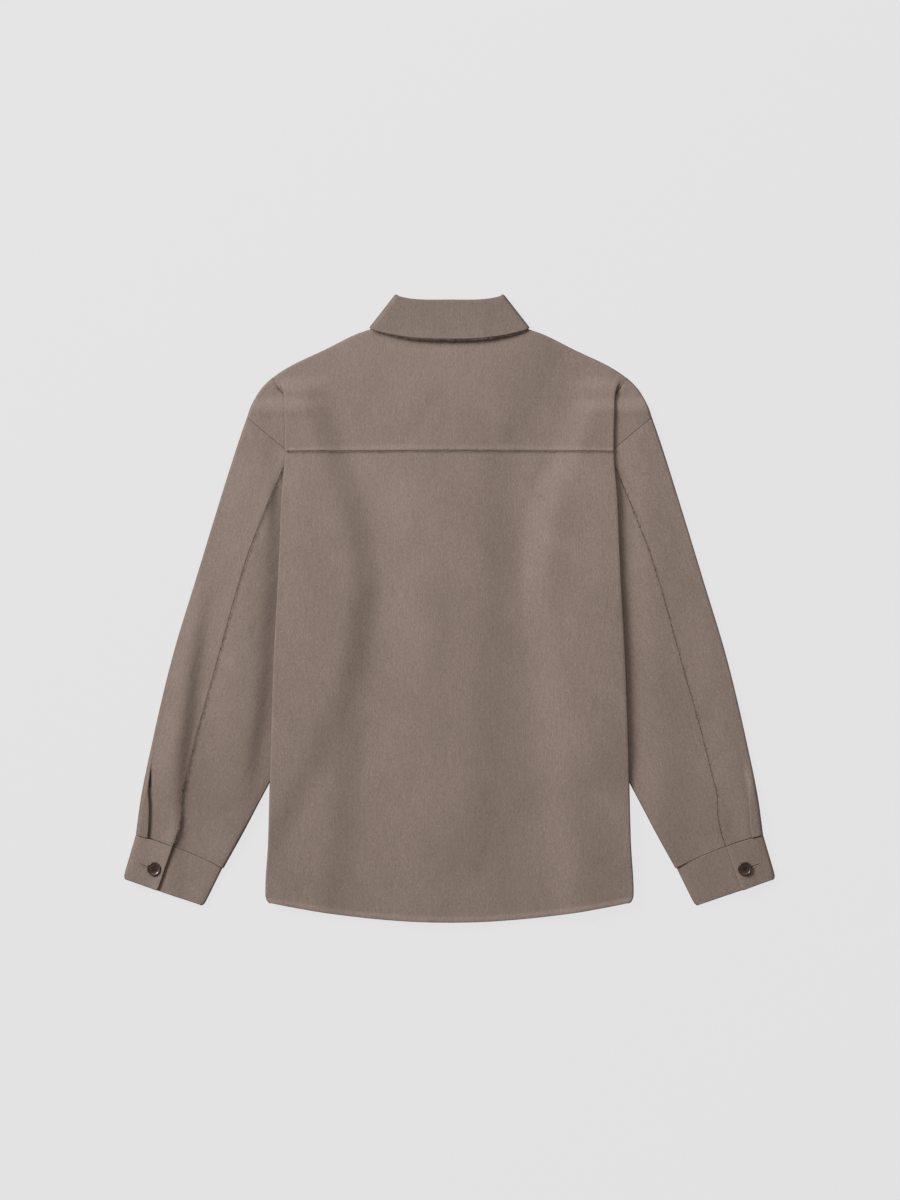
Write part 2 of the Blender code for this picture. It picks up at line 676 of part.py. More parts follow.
def front_panel(name, over):
    # One front with its band. The one that lies over has its band against the surface.
    hem_fold_y = BODY_FOLD["y"][-1] + FRONT_SHORTER
    pleat = PLEATS["front"]
    neck = FRONT_NEAR[-1]
    top_fold_y = pleat["tip_y"] - FRONT_TOP_BELOW_TIP

    def height(x, y):
        under = 0.0 if over else STEP * (1 - past(BAND_EDGE_RAMP, x))
        return front_z(x, y) + under

    lower, upper, lefts = [], [], []
    for v in FRONT_ROWS + (1.0,):
        y_fold = hem_fold_y + (FRONT_LEVEL_Y - hem_fold_y) * v
        axis = fold_axis(y_fold, FRONT_NARROWER)
        foot = strip_foot(y_fold, FRONT_LEVEL_Y)
        if v == 1:
            foot = np.array(PLEAT_FOOT)
        sides = [neck + (axis - neck) * share for share in SIDE_SHARES]
        row = []
        for x in list(FRONT_NEAR) + sides:
            y = (hem_y(x) + FRONT_SHORTER) * (1 - v) + FRONT_LEVEL_Y * v
            row.append((x, y, height(x, y)))
        row[-1] = (axis, y_fold, row[-1][2])
        if v == 1:
            row += pleat_path(pleat, y_fold, row[-1][2], 1, arm_low_z(axis, y_fold))
            lower.append(row[:len(lower[-1])])
            break
        row += bend(row[-1], (1, 0), STEP / 2, 1)
        start = row[-1]
        for share in STRIP_SHARES[1:]:
            spot = mix(start[:2], foot, share)
            row.append((spot[0], spot[1], start[2]))
        lower.append(row)
    for v in FRONT_UPPER_ROWS:
        y_fold = FRONT_LEVEL_Y + (top_fold_y - FRONT_LEVEL_Y) * v
        axis = fold_axis(y_fold, FRONT_NARROWER)
        sides = [neck + (axis - neck) * share for share in SIDE_SHARES]
        row = []
        for x in list(FRONT_NEAR) + sides:
            top = neck_front_y(x) if x <= neck else along(YOKE_FRONT, "x", x) - SEAM_DROP
            y = FRONT_LEVEL_Y * (1 - v) + top * v
            row.append((x, y, height(x, y)))
        row[-1] = (axis, y_fold, row[-1][2])
        row += pleat_path(pleat, y_fold, row[-1][2], 1, arm_low_z(axis, y_fold))
        upper.append(row)
        lefts.append(row[-1])
    last = np.array((YOKE_FRONT["x"][-1], YOKE_FRONT["y"][-1])) - ARMHOLE_WAY * SEAM_DROP
    first_share = share_at_x(YOKE_FRONT, lefts[-1][0])
    cap = cap_patch(lefts, FRONT_UPPER_ROWS, YOKE_FRONT, front_inset, first_share,
                    np.array(PLEAT_FOOT), last, arm_low_z)
    grids = [lower, upper, cap]
    if over:
        grids = [mirrored(grid) for grid in grids]
    return wall(name, grids, CLOTH, COLOURS["wool"])


SLEEVE_ROWS = (0.0, 0.05, 0.12, 0.21, 0.31, 0.42, 0.53, 0.63, 0.72, 0.79, 0.83, 0.87, 0.91, 0.95, 1.0)
SLEEVE_TOP_SHARES = (0.0, 0.3, 0.6, 0.85, 1.0)
LOW_SHARES = (0.19, 0.385, 0.58, 0.79, 1.0)
TOP_SHARES = (0.28, 0.57, 0.85, 1.0)


def sleeve(name, side):
    # An open tube from one edge of the back seam round to the other.
    grid = []
    for v in SLEEVE_ROWS:
        outer_y = ARM_OUTER["y"][0] * (1 - v) + ARM_OUTER["y"][-1] * v
        inner_y = ARM_INNER["y"][0] * (1 - v) + ARM_INNER["y"][-1] * v
        seam_y = ARM_SEAM["y"][0] * (1 - v) + ARM_SEAM["y"][-1] * v
        outer = np.array((along(ARM_OUTER, "y", outer_y), outer_y))
        inner = np.array((along(ARM_INNER, "y", inner_y), inner_y))
        seam = np.array((along(ARM_SEAM, "y", seam_y), seam_y))
        if v == 0:
            outer, inner, seam = outer + ARMHOLE_DOWN * GAP, inner + (0.0, -GAP), seam + ARMHOLE_DOWN * GAP
        if v == 1:
            shift = unit(np.array(CUFF_BOTTOM_OUT) - outer) * (GAP + 0.1)
            outer, inner, seam = outer - shift, inner - shift, seam - shift
        grid.append(sleeve_row(outer, inner, seam, v))
    if side < 0:
        grid = mirrored(grid)
    return wall(name, [grid], CLOTH, COLOURS["wool"])


def armhole_bulge(share, first, straight):
    # How far the armhole stands off the straight line from its first point to the armpit.
    points = np.column_stack((ARMHOLE_HIDDEN["x"], ARMHOLE_HIDDEN["y"]))
    lengths = lengths_of(ARMHOLE_HIDDEN)
    goal = (straight + lengths[-1]) * share
    if goal <= straight:
        spot = mix(first, ARMHOLE_FOOT, goal / straight)
    else:
        reach = goal - straight
        spot = np.array((np.interp(reach, lengths, points[:, 0]), np.interp(reach, lengths, points[:, 1])))
    return spot - mix(first, ARMPIT, share)


def cuff_sag(spot, outer, inner):
    # The seam at the cuff hangs a little below a straight line.
    line = inner - outer
    share = min(1.0, max(0.0, float((spot - outer) @ line) / float(line @ line)))
    return 4 * share * (1 - share) * CUFF_SAG * unit((line[1], -line[0]))


def sleeve_row(outer, inner, seam, v):
    fade = (1 - v) ** ARMHOLE_POWER
    way = unit(outer - seam)
    placket = past(PLACKET_RAMP, v)
    rise = pleat_rise(SLEEVE_PLEAT, outer[1])
    radius = (arm_top_z(outer[0], outer[1]) + rise - arm_low_z(outer[0], outer[1])) / 2
    edge = outer - way * (radius + CLOTH / 2)
    seam_edge = seam + way * GAP / 2
    width = float(np.linalg.norm(edge - seam_edge))
    angle = max(LEAST_TURN, turn_angle(SLEEVE_PLEAT, outer[1]))
    deep = smooth((PLEAT_DEPTH_RAMP["start"] - outer[1]) / PLEAT_DEPTH_RAMP["width"])
    depth = LEAST_DEPTH + (SLEEVE_PLEAT_DEPTH - LEAST_DEPTH) * deep
    pleat_at = width - SLEEVE_PLEAT_IN + radius + CLOTH / 2 + depth

    def top(distance, extra=0.0):
        spot = mix(seam_edge, edge, distance / width)
        across = 1 - smooth(distance / PLACKET_RAMP["across"])
        z = arm_top_z(spot[0], spot[1]) + (DOUBLE + GAP) * placket * across
        return (spot[0], spot[1], z + extra)

    row = [top(share * pleat_at) for share in SLEEVE_TOP_SHARES]
    section = z_fold(angle, depth)
    scale = rise / section[-1][1]
    row += [top(pleat_at + distance, height * scale) for distance, height in section]
    reached = pleat_at + section[-1][0]
    for share in (0.5, 1.0):
        row.append(top(reached + (width - reached) * share, rise))
    row += bend(row[-1], way, radius, -1)
    inner_way = unit(inner - outer)
    start = np.array(row[-1][:2])
    finish = inner - inner_way * (APART / 2 + CLOTH / 2) if v > 0 else inner
    straight = float(np.linalg.norm(SLEEVE_HEAD - ARMHOLE_FOOT))
    for share in LOW_SHARES:
        spot = mix(start, finish, share) + fade * armhole_bulge(share, SLEEVE_HEAD, straight)
        row.append((spot[0], spot[1], arm_low_z(spot[0], spot[1])))
    low_end = row[-1]
    row += bend(low_end, inner_way, (arm_top_z(low_end[0], low_end[1]) - low_end[2]) / 2, 1)
    start = np.array(row[-1][:2])
    finish = seam - way * GAP / 2
    straight = float(np.linalg.norm(ARM_SEAM_HEAD - ARMHOLE_FOOT))
    for share in TOP_SHARES:
        spot = mix(start, finish, share) + fade * armhole_bulge(1 - share, ARM_SEAM_HEAD, straight)
        row.append((spot[0], spot[1], arm_top_z(spot[0], spot[1])))
    sag = past(SAG_RAMP, v)
    if sag > 0:
        spots = [np.array(point[:2]) for point in row]
        shifts = [sag * cuff_sag(spot, outer, inner) for spot in spots]
        row = [(point[0] + shift[0], point[1] + shift[1], point[2]) for point, shift in zip(row, shifts)]
    return row


CUFF_ROWS = (0.0, 0.12, 0.5, CUFF_ROUND_FROM, 1.0)
CUFF_OVER_SHARES = (0.0, 0.5, 1.0)
CUFF_LOW_SHARES = (0.2, 0.4, 0.6, 0.8, 1.0)
CUFF_UNDER_SHARES = (0.35, 0.6, 0.8, 1.0)


def cuff(name, side):
    top_out = np.array((ARM_OUTER["x"][-1], ARM_OUTER["y"][-1]))
    top_in = np.array((ARM_INNER["x"][-1], ARM_INNER["y"][-1]))
    top_mid = mix(top_out, top_in, CUFF_EDGE_SHARE)
    layer = DOUBLE + GAP
    low = DOUBLE / 2
    high = low + layer + 2 * CUFF_SPRING
    in_radius = (high - low) / 2
    out_radius = (high + layer - low) / 2
    grid = []
    for v in CUFF_ROWS:
        rounding = CUFF_ROUND * max(0.0, (v - CUFF_ROUND_FROM) / (1 - CUFF_ROUND_FROM))
        outer = mix(top_out, CUFF_BOTTOM_OUT, v)
        inner = mix(top_in, CUFF_BOTTOM_IN, v)
        edge = mix(top_mid, PLACKET_FOOT, v)
        way = unit(outer - inner)
        out_spot = outer - way * (out_radius + DOUBLE / 2 + rounding)
        in_spot = inner + way * (in_radius + DOUBLE / 2 + rounding)
        row = []
        for share in CUFF_OVER_SHARES:
            spot = mix(edge, out_spot, share)
            row.append((spot[0], spot[1], high + layer))
        row += bend(row[-1], way, out_radius, -1)
        for share in CUFF_LOW_SHARES:
            spot = mix(out_spot, in_spot, share)
            row.append((spot[0], spot[1], low))
        row += bend(row[-1], -way, in_radius, 1)
        lap = edge + way * CUFF_UNDERLAP
        for share in CUFF_UNDER_SHARES:
            spot = mix(in_spot, lap, share)
            row.append((spot[0], spot[1], high))
        shifts = [(1 - v) * cuff_sag(np.array(point[:2]), outer, inner) for point in row]
        row = [(point[0] + shift[0], point[1] + shift[1], point[2]) for point, shift in zip(row, shifts)]
        grid.append(row)
    if side < 0:
        grid = mirrored(grid)
    return wall(name, [grid], DOUBLE, COLOURS["wool"])


FRONT_STATIONS = len(NECK_FRONT_STOPS)
SIDE_STATIONS = 4
LEAF_SHARES = (0.35, 0.7, 1.0)
STAND_SHARES = (0.0, 0.5, 1.0)


def collar_stations():
    # Round the neck from the centre front, over the side fold and along the back, for the half
    # with x above 0. Each has points on the roll, the leaf's edge and the neck seam.
    side_way = unit(np.array(LEAF_CORNER) - np.array(LEAF_SIDE))
    outward = np.array((side_way[1], -side_way[0]))
    stations = []
    for k, x in enumerate(NECK_FRONT_STOPS):
        share = k / (FRONT_STATIONS - 1)
        stations.append({"roll": mix(LEAF_FRONT, LEAF_CORNER, share),
                         "edge": mix(LEAF_POINT, LEAF_SIDE, share),
                         "neck": np.array((x, neck_front_y(x))), "turn": 0.0, "inset": share**2})
    for k in range(1, SIDE_STATIONS + 1):
        stations.append({"roll": np.array(LEAF_CORNER), "edge": np.array(LEAF_SIDE),
                         "neck": np.array(STAND_SIDE), "turn": math.pi * k / (SIDE_STATIONS + 1),
                         "inset": 1.0})
    for x in reversed(NECK_STOPS):
        share = x / NECK_X
        roll = (LEAF_CORNER[0] * share, ROLL_Y + (LEAF_CORNER[1] - ROLL_Y) * share**ROLL_POWER)
        edge = (LEAF_SIDE[0] * share, LEAF_EDGE_Y + (LEAF_SIDE[1] - LEAF_EDGE_Y) * share**LEAF_EDGE_POWER)
        stations.append({"roll": np.array(roll), "edge": np.array(edge),
                         "neck": np.array((x, neck_back_y(x))), "turn": math.pi, "inset": share**2})
    stations[FRONT_STATIONS - 1]["neck"] = np.array(STAND_FRONT_SIDE)
    stations[-len(NECK_STOPS)]["neck"] = np.array(STAND_BACK_SIDE)
    for station in stations:
        station["outward"] = outward
    return stations


def around(station, plan, radius):
    # A point at a distance from the middle of the collar's stack. The side fold stands inside
    # the outline by the leaf's own bend, and the stations beside it share that.
    middle = np.asarray(plan) - station["outward"] * (LEAF_R + DOUBLE / 2) * station["inset"]
    spot = middle + station["outward"] * radius * math.sin(station["turn"])
    return (spot[0], spot[1], STACK_MID - radius * math.cos(station["turn"]))


def collar_leaf():
    bend_r = (LEAF_R - STAND_R) / 2
    columns = []
    for station in collar_stations():
        up = unit(station["roll"] - station["edge"])
        start = station["roll"] - up * (bend_r + DOUBLE / 2)
        column = [around(station, start - up * LEAF_LEAD, STAND_R)]
        for k in range(LEAF_STEPS + 1):
            angle = math.pi * k / LEAF_STEPS
            column.append(around(station, start + up * bend_r * math.sin(angle),
                                 STAND_R + bend_r * (1 - math.cos(angle))))
        back = past(LEAF_BACK_RAMP, station["turn"] / math.pi)
        sideways = abs(station["edge"][0]) / LEAF_SIDE[0]
        for share in LEAF_SHARES:
            point = around(station, mix(start, station["edge"], share), LEAF_R)
            lifted = LEAF_LIFT * share**2 * back * (1 - sideways**4)
            column.append((point[0], point[1], point[2] + lifted))
        columns.append(column)
    return wall("collar_leaf", both_halves([columns]), DOUBLE, COLOURS["wool"])


def collar_stand():
    bend_r = (LEAF_R - STAND_R) / 2
    half = []
    for station in collar_stations():
        up = unit(station["roll"] - station["edge"])
        top = station["roll"] - up * (bend_r + DOUBLE / 2 + LEAF_LEAD + GAP)
        neck = station["neck"] + unit(station["roll"] - station["neck"]) * (GAP + 0.1)
        neck = neck + station["outward"] * (LEAF_R + DOUBLE / 2) * station["inset"]
        column = []
        for share in STAND_SHARES:
            point = around(station, mix(neck, top, share), STAND_R)
            extra = lift(point[0], point[1]) - FLAP_LIFT if station["turn"] == 0 else 0.0
            column.append((point[0], point[1], point[2] + max(0.0, extra)))
        half.append(column)
    ends = []
    for inward in BAND_ENDS:
        reach = BAND - inward
        drop = neck_front_y(reach) - NECK_FRONT_Y
        ends.append([(-reach, point[1] + drop * (1 - share) - STAND_END_DROP * share, point[2])
                     for point, share in zip(half[0], STAND_SHARES)])
    plain = ends + half
    over = []
    for k, column in enumerate(plain):
        if k < len(ends) + FRONT_STATIONS:
            column = [(x, y, z + STEP * (1 - past(STAND_BAND_RAMP, x)) * before(BAND_TOP_RAMP, y))
                      for x, y, z in column]
        over.append(column)
    return wall("collar_stand", [over, mirrored(plain)], CLOTH, COLOURS["wool"])


def button(name, centre, base, faces_down=False):
    # A turned disc with a raised rim and a dished middle.
    corners = []
    rings = []
    for inward, height in zip(BUTTON_PROFILE["in_from_rim"], BUTTON_PROFILE["height"]):
        radius = BUTTON_R - inward
        height = BUTTON_THICK - height if faces_down else height
        count = BUTTON_SIDES if radius > 0 else 1
        rings.append(list(range(len(corners), len(corners) + count)))
        for k in range(count):
            angle = 2 * math.pi * k / count
            corners.append((centre[0] + radius * math.cos(angle), centre[1] + radius * math.sin(angle),
                            base + height))
    faces = []
    for lower, higher in zip(rings, rings[1:]):
        for k in range(BUTTON_SIDES):
            n = (k + 1) % BUTTON_SIDES
            if len(lower) == 1:
                faces.append([lower[0], higher[n], higher[k]])
            elif len(higher) == 1:
                faces.append([lower[k], lower[n], higher[0]])
            else:
                faces.append([lower[k], lower[n], higher[n], higher[k]])
    return solid(name, corners, faces, COLOURS["horn"], 0.35)


def main():
    for old in list(bpy.data.objects):
        bpy.data.objects.remove(old, do_unlink=True)
    back_panel()
    back_yoke()
    front_panel("front_left", True)
    front_panel("front_right", False)
    cuff_top = DOUBLE / 2 + 2 * ((DOUBLE + GAP) / 2 + CUFF_SPRING) + (DOUBLE + GAP) + DOUBLE / 2
    for word, side in (("left", -1), ("right", 1)):
        sleeve("sleeve_" + word, side)
        cuff("cuff_" + word, side)
        button("cuff_button_" + word, (side * CUFF_BUTTON[0], CUFF_BUTTON[1]), cuff_top + GAP)
    collar_leaf()
    collar_stand()
    for k, y in enumerate(FRONT_BUTTON_Y):
        button("front_button_%d" % (k + 1), (0.0, y), 0.0, faces_down=True)


main()
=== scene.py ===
# Looks of a wool shacket laid flat on its front, back up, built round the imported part.
# Tables and sizes are in millimetres, as in the part's source. Meshes are made in metres.
# +X is to the right as the garment is seen from above, +Y towards the collar, +Z up.

import math
from bisect import bisect_right

import bmesh
import bpy
import numpy as np
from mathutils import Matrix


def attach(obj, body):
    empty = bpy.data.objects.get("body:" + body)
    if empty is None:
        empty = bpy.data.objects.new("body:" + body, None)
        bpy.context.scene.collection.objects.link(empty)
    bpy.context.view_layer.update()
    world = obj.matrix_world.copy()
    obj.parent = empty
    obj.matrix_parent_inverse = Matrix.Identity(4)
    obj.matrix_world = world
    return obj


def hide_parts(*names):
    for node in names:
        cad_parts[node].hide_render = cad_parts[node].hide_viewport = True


mm = 0.001
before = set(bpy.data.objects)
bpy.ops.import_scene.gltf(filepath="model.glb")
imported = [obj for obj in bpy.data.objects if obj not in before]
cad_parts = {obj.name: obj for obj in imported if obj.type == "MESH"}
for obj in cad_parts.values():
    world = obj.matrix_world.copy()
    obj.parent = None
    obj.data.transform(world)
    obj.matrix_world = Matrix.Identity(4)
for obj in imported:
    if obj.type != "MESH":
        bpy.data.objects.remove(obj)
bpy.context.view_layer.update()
print("frame loaded")

# Cloth
clothThick = 1.8  # thickness of the double-faced wool
doubleThick = 2.4  # thickness of the collar leaf and the cuffs
gap = 0.3  # left between pieces that touch
layerStep = clothThick + 0.5  # from one laid layer to the next
apart = layerStep + 0.5  # from the front half to the back half
floorLayer = clothThick / 2  # middle of a layer that lies on the surface
plump = 1.0  # extra height along the outer edge of the arm
turnSteps = 6  # straight bits in a half turn of the cloth
leafSteps = 8  # and in the roll of the collar

# Lengths and heights down the back
yokeSeamY = 204.0
yokeSeamSag = 1.5  # the seam is this much higher at the centre than at the sides
yokeHalf = 213.0
seamDrop = -0.05  # the back panel starts this much below the yoke
rollY = 401.0
neckBackY = 358.0
hemY = -407.5
hemRise = 4.88e-4  # the hem is a parabola: rise per x squared
frontShorter = 3.0  # the fronts end this much above the back's hem
frontNarrower = 2.0  # and their side folds lie this much further in
frontLevelY = 202.0
leafEdgeY = 348.9

# Neck and shoulder
neckX = 85.0
neckStops = [neckX * k / 14 for k in range(15)]
neckFrontStops = (0.0, 22.0, 42.5, 60.0, 73.6, 81.4)
neckTopY = 367.2
neckFrontY = 285.0
band = 20.0  # the button band reaches this far past the centre front

# Shoulder fold, seen from above: neck point to sleeve head
shoulder = {
    "x": (85.0, 104.0, 119.0, 160.0, 216.0, 233.4, 245.7, 253.5, 259.6, 262.8),
    "y": (369.6, 362.4, 357.2, 337.4, 310.2, 297.2, 284.2, 271.2, 258.0, 248.0)}

# Edge of the yoke where it meets the fronts
yokeFront = {
    "x": (81.4, 140.0, 205.3, 225.0, 236.5, 243.4),
    "y": (344.0, 317.6, 287.0, 268.0, 249.0, 231.8)}

# Outer edge of the arm, sleeve head to cuff seam
armOuter = {
    "y": (248.0, 219.0, 141.0, 37.0, -67.0, -171.0, -249.0, -293.6),
    "x": (262.8, 273.0, 297.7, 329.6, 360.8, 385.5, 401.1, 407.2)}

# Inner edge of the arm, armpit to cuff seam
armInner = {
    "y": (30.0, -60.0, -150.0, -228.0, -336.6),
    "x": (150.0, 166.0, 196.0, 234.5, 294.8)}

# Back seam of the sleeve, armhole to cuff seam
armSeam = {
    "y": (202.0, 189.0, 135.0, 64.0, -84.0, -171.0, -218.0, -247.0, -266.0, -286.0, -311.6),
    "x": (207.6, 213.0, 235.6, 263.0, 305.6, 330.0, 342.0, 348.9, 349.4, 352.2, 359.8)}

# Fold at the side of the body, from the shoulder to the hem
bodyFold = {
    "y": (303.5, 296.0, 284.0, 271.0, 206.0, 141.0, 63.0, -67.0, -171.0, -301.0, -359.0,
          -371.0, -378.5, -382.0),
    "x": (224.5, 219.5, 216.0, 214.8, 213.5, 218.4, 221.4, 228.3, 231.8, 235.2, 238.8,
          239.0, 236.8, 233.0)}

# Armhole under the body, from the pleat's foot to the armpit
armholeHidden = {
    "x": (186.0, 174.0, 165.0, 157.0, 150.0),
    "y": (184.0, 160.0, 130.0, 85.0, 30.0)}

# Side seam under the body, armpit to hem
sideSeam = {
    "y": (30.0, -100.0, -240.0, -382.0),
    "x": (150.0, 162.0, 178.0, 192.0)}

# Shoulder pleat of the back and of the fronts: flat at its tip, folded right over from its
# closed height down to its foot on the armhole
pleats = {
    "back": {"tipY": 303.5, "closedY": 268.0, "topY": yokeSeamY, "narrower": 0.0},
    "front": {"tipY": 277.0, "closedY": 246.0, "topY": frontLevelY, "narrower": frontNarrower}}
pleatFoot = (188.1, 185.9)

# Cuff and its placket, seen from above
cuffBottomOut = (423.8, -350.2)
cuffBottomIn = (319.3, -386.2)
placketFoot = (378.5, -366.1)
cuffSag = 3.3
cuffUnderlap = 26.0
cuffSpring = 0.4
cuffButton = (384.2, -338.9)
sleevePleatDepth = 6.0
# "topIn" and "footIn" are from the pleat's line to the outer edge, at its tip and at the cuff
sleevePleats = {
    -1: {"tipY": -190.0, "closedY": -262.0, "topIn": 6.0, "footIn": 14.5},
    1: {"tipY": -190.0, "closedY": -276.0, "topIn": 14.0, "footIn": 13.6}}

# Collar, seen from above
leafCorner = (69.8, 408.9)
leafSide = (104.2, 364.9)
leafPoint = (62.0, 262.0)
leafFront = (3.0, 318.0)
standR = apart / 2 + 0.2
standFrontSide = (80.7, 345.6)  # its neck edge, beside the shoulder fold and over it
standSide = (82.2, 369.8)
standBackSide = (83.0, 368.8)
leafR = standR + doubleThick + 0.6
stackMid = doubleThick / 2 + leafR
flapLift = stackMid - standR - floorLayer
flapArea = ((0.0, 400.0), leafCorner, leafSide, leafPoint, (0.0, 320.8))

# Buttons
buttonThick = 3.2
frontButtonY = (300.0, 243.0, 153.0, 63.0, -27.0, -117.0, -207.0)
buttonLift = buttonThick + gap

seamGap = -0.05  # sewn edges meet along the middle of the cloth
nearSeam = (1.3, 2.5, 3.8, 5.4, 7.5)  # rows beside a seam, from its edge
nearHem = (1.3, 2.5, 3.8, 5.0, 6.0, 7.2, 9.0)

# Sewn edges that stand up: height above the cloth, how far in it stays up, where it is down
seamReliefs = {"yokeEdge": (1.1, 0.8, 5.5), "hemBand": (1.7, 1.5, 8.0), "sleeveSeam": (1.3, 1.0, 18.0)}
seamStands = {-1: 1.3, 1: 0.35}  # the left sleeve's seam is drawn up, the right one lies flat
puckers = ((0.25, 61.0, 0.0), (0.2, 143.0, 1.0), (0.15, 237.0, 0.0))  # unevenness: size, waves, start
edgeLines = {}  # sewn and cut edges that show, as points of the mid surface

# Where one height turns into another: the place where the change starts, then where it is done
climbs = {
    # distance from the collar's flaps, across and down the row of buttons, and the button band
    "flap": (62.0, 12.0), "rowSide": (90.0, 12.0), "rowTop": (342.0, 312.0), "rowFoot": (-360.0, -260.0),
    "bandSide": (100.0, 30.0), "bandTop": (352.0, 322.0), "bandEdge": (2.0, 28.0), "standBand": (0.0, 14.0),
    # past the inboard end of the turned-in strips, and past the body's side fold
    "frontStrip": (-64.0, -18.0), "backStrip": (-66.0, -20.0),
    "armUnder": (12.0, 72.0), "armFull": (8.0, 38.0), "armOver": (28.0, 94.0),
    # along the shoulder, and down the turned-in strips of the back
    "shoulderTurn": (195.0, 215.0), "shoulderEnd": (205.0, 225.0), "armpit": (0.0, 60.0),
    "hemTuck": (-330.0, -382.0), "stripTop": (0.0, 60.0), "stripHem": (-340.0, -380.0),
    # shares of the sleeve's length, then distances from its seam and from the cuff's lap
    "placket": (0.85, 1.0), "sag": (0.7, 1.0), "puckerFoot": (0.68, 0.93), "puckerTop": (0.0, 0.22),
    "placketSide": (0.0, 22.0), "pleatDepth": (-250.0, -286.0),
    "lapOut": (0.0, 2.8), "lapIn": (2.8, 15.8), "lapFlat": (0.0, 13.0), "leafBack": (0.6, 1.0)}


def raised(name, distance):
    high, level, end = seamReliefs[name]
    return high * (1 - smooth((distance - level) / (end - level)))


def stops(total, near=(), count=8, far=()):
    # Distances from 0 to a total: set ones near either end, an even run between them.
    first = near[-1] if near else 0.0
    last = total - (far[-1] if far else 0.0)
    middle = [first + (last - first) * k / count for k in range(1, count)]
    far = [total - distance for distance in reversed(far)]
    return [0.0] + list(near) + middle + far + [total]


def shares(total, near=(), count=8, far=()):
    return [distance / total for distance in stops(total, near, count, far)]


def smooth(value):
    value = min(1.0, max(0.0, value))
    return value * value * (3 - 2 * value)


def smoothAll(value):
    value = np.clip(value, 0.0, 1.0)
    return value * value * (3 - 2 * value)


def climb(name, value):
    # 0 where a change starts, 1 where it is done.
    start, end = climbs[name]
    return smooth((value - start) / (end - start))


knownCurves = {}


def tangentsOf(keys, values):
    # Slopes at the points of a smooth curve with no overshoot, worked out once for each table.
    name = (tuple(keys), tuple(values))
    if name not in knownCurves:
        keys, values = list(keys), list(values)
        if keys[0] > keys[-1]:
            keys, values = keys[::-1], values[::-1]
        slopes = [(values[i + 1] - values[i]) / (keys[i + 1] - keys[i]) for i in range(len(keys) - 1)]
        tangents = [slopes[0]] + [0.0] * (len(keys) - 2) + [slopes[-1]]
        for i in range(1, len(keys) - 1):
            if slopes[i - 1] * slopes[i] > 0:
                tangents[i] = 2 / (1 / slopes[i - 1] + 1 / slopes[i])
        knownCurves[name] = (keys, values, tangents)
    return knownCurves[name]


def curveAt(keys, values, value):
    keys, values, tangents = tangentsOf(keys, values)
    value = min(keys[-1], max(keys[0], value))
    i = min(len(keys) - 2, bisect_right(keys, value) - 1)
    span = keys[i + 1] - keys[i]
    t = (value - keys[i]) / span
    return ((2 * t**3 - 3 * t**2 + 1) * values[i] + (t**3 - 2 * t**2 + t) * span * tangents[i]
            + (3 * t**2 - 2 * t**3) * values[i + 1] + (t**3 - t**2) * span * tangents[i + 1])


def along(table, key, value):
    other = "x" if key == "y" else "y"
    return curveAt(table[key], table[other], value)


def lengthsOf(table):
    steps = np.hypot(np.diff(table["x"]), np.diff(table["y"]))
    return np.concatenate(([0.0], np.cumsum(steps)))


def trace(table, share):
    # Point at a share of the length of a table's curve.
    lengths = lengthsOf(table)
    goal = share * lengths[-1]
    return np.array((curveAt(lengths, table["x"], goal), curveAt(lengths, table["y"], goal)))


def shareAtX(table, x):
    lengths = lengthsOf(table)
    return float(np.interp(x, table["x"], lengths) / lengths[-1])


def mix(a, b, share):
    return np.asarray(a, float) * (1 - share) + np.asarray(b, float) * share


def unit(vector):
    vector = np.asarray(vector, float)
    return vector / np.linalg.norm(vector)


sleeveHead = np.array((shoulder["x"][-1], shoulder["y"][-1]))
armholeFoot = np.array((armholeHidden["x"][0], armholeHidden["y"][0]))
armpit = np.array((armholeHidden["x"][-1], armholeHidden["y"][-1]))
armSeamHead = np.array((armSeam["x"][0], armSeam["y"][0]))
armholeWay = unit(sleeveHead - armholeFoot)
armholeDown = np.array((armholeWay[1], -armholeWay[0]))


def bodyFoldAt(y):
    return along(bodyFold, "y", y)


def foldAxis(y, narrower=0.0):
    # Middle of the bend at the side fold.
    return bodyFoldAt(y) - narrower - clothThick / 2 - layerStep / 2


def hemAt(x):
    return hemY + hemRise * x * x


def yokeSeamAt(x):
    return yokeSeamY + yokeSeamSag * (1 - (x / yokeHalf) ** 2)


def neckBackAt(x):
    return neckBackY + (neckTopY - neckBackY) * (abs(x) / neckX) ** 2.2


def neckFrontAt(x):
    share = min(1.0, abs(x) / neckX)
    return neckTopY - (neckTopY - neckFrontY) * math.sqrt(1 - share**2)


def turnAngle(pleat, y):
    # How far a pleat has turned over at this height.
    return math.pi * smooth((pleat["tipY"] - y) / (pleat["tipY"] - pleat["closedY"]))


def turnRadius(angle):
    # The bend keeps its length of cloth while it opens.
    return (layerStep / 2) * math.pi / angle


def pleatRise(pleat, y):
    angle = turnAngle(pleat, y)
    return 2 * turnRadius(angle) * (1 - math.cos(angle)) if angle > 0.01 else 0.0


def pleatFootAt(pleat, yFold):
    # Inner fold of a shoulder pleat, for the row that meets the outer fold at this height.
    if yFold >= pleat["closedY"]:
        return np.array((foldAxis(yFold, pleat["narrower"]), yFold))
    share = max(0.0, (yFold - pleat["topY"]) / (pleat["closedY"] - pleat["topY"]))
    closed = (foldAxis(pleat["closedY"], pleat["narrower"]), pleat["closedY"])
    return mix(pleatFoot, closed, share)


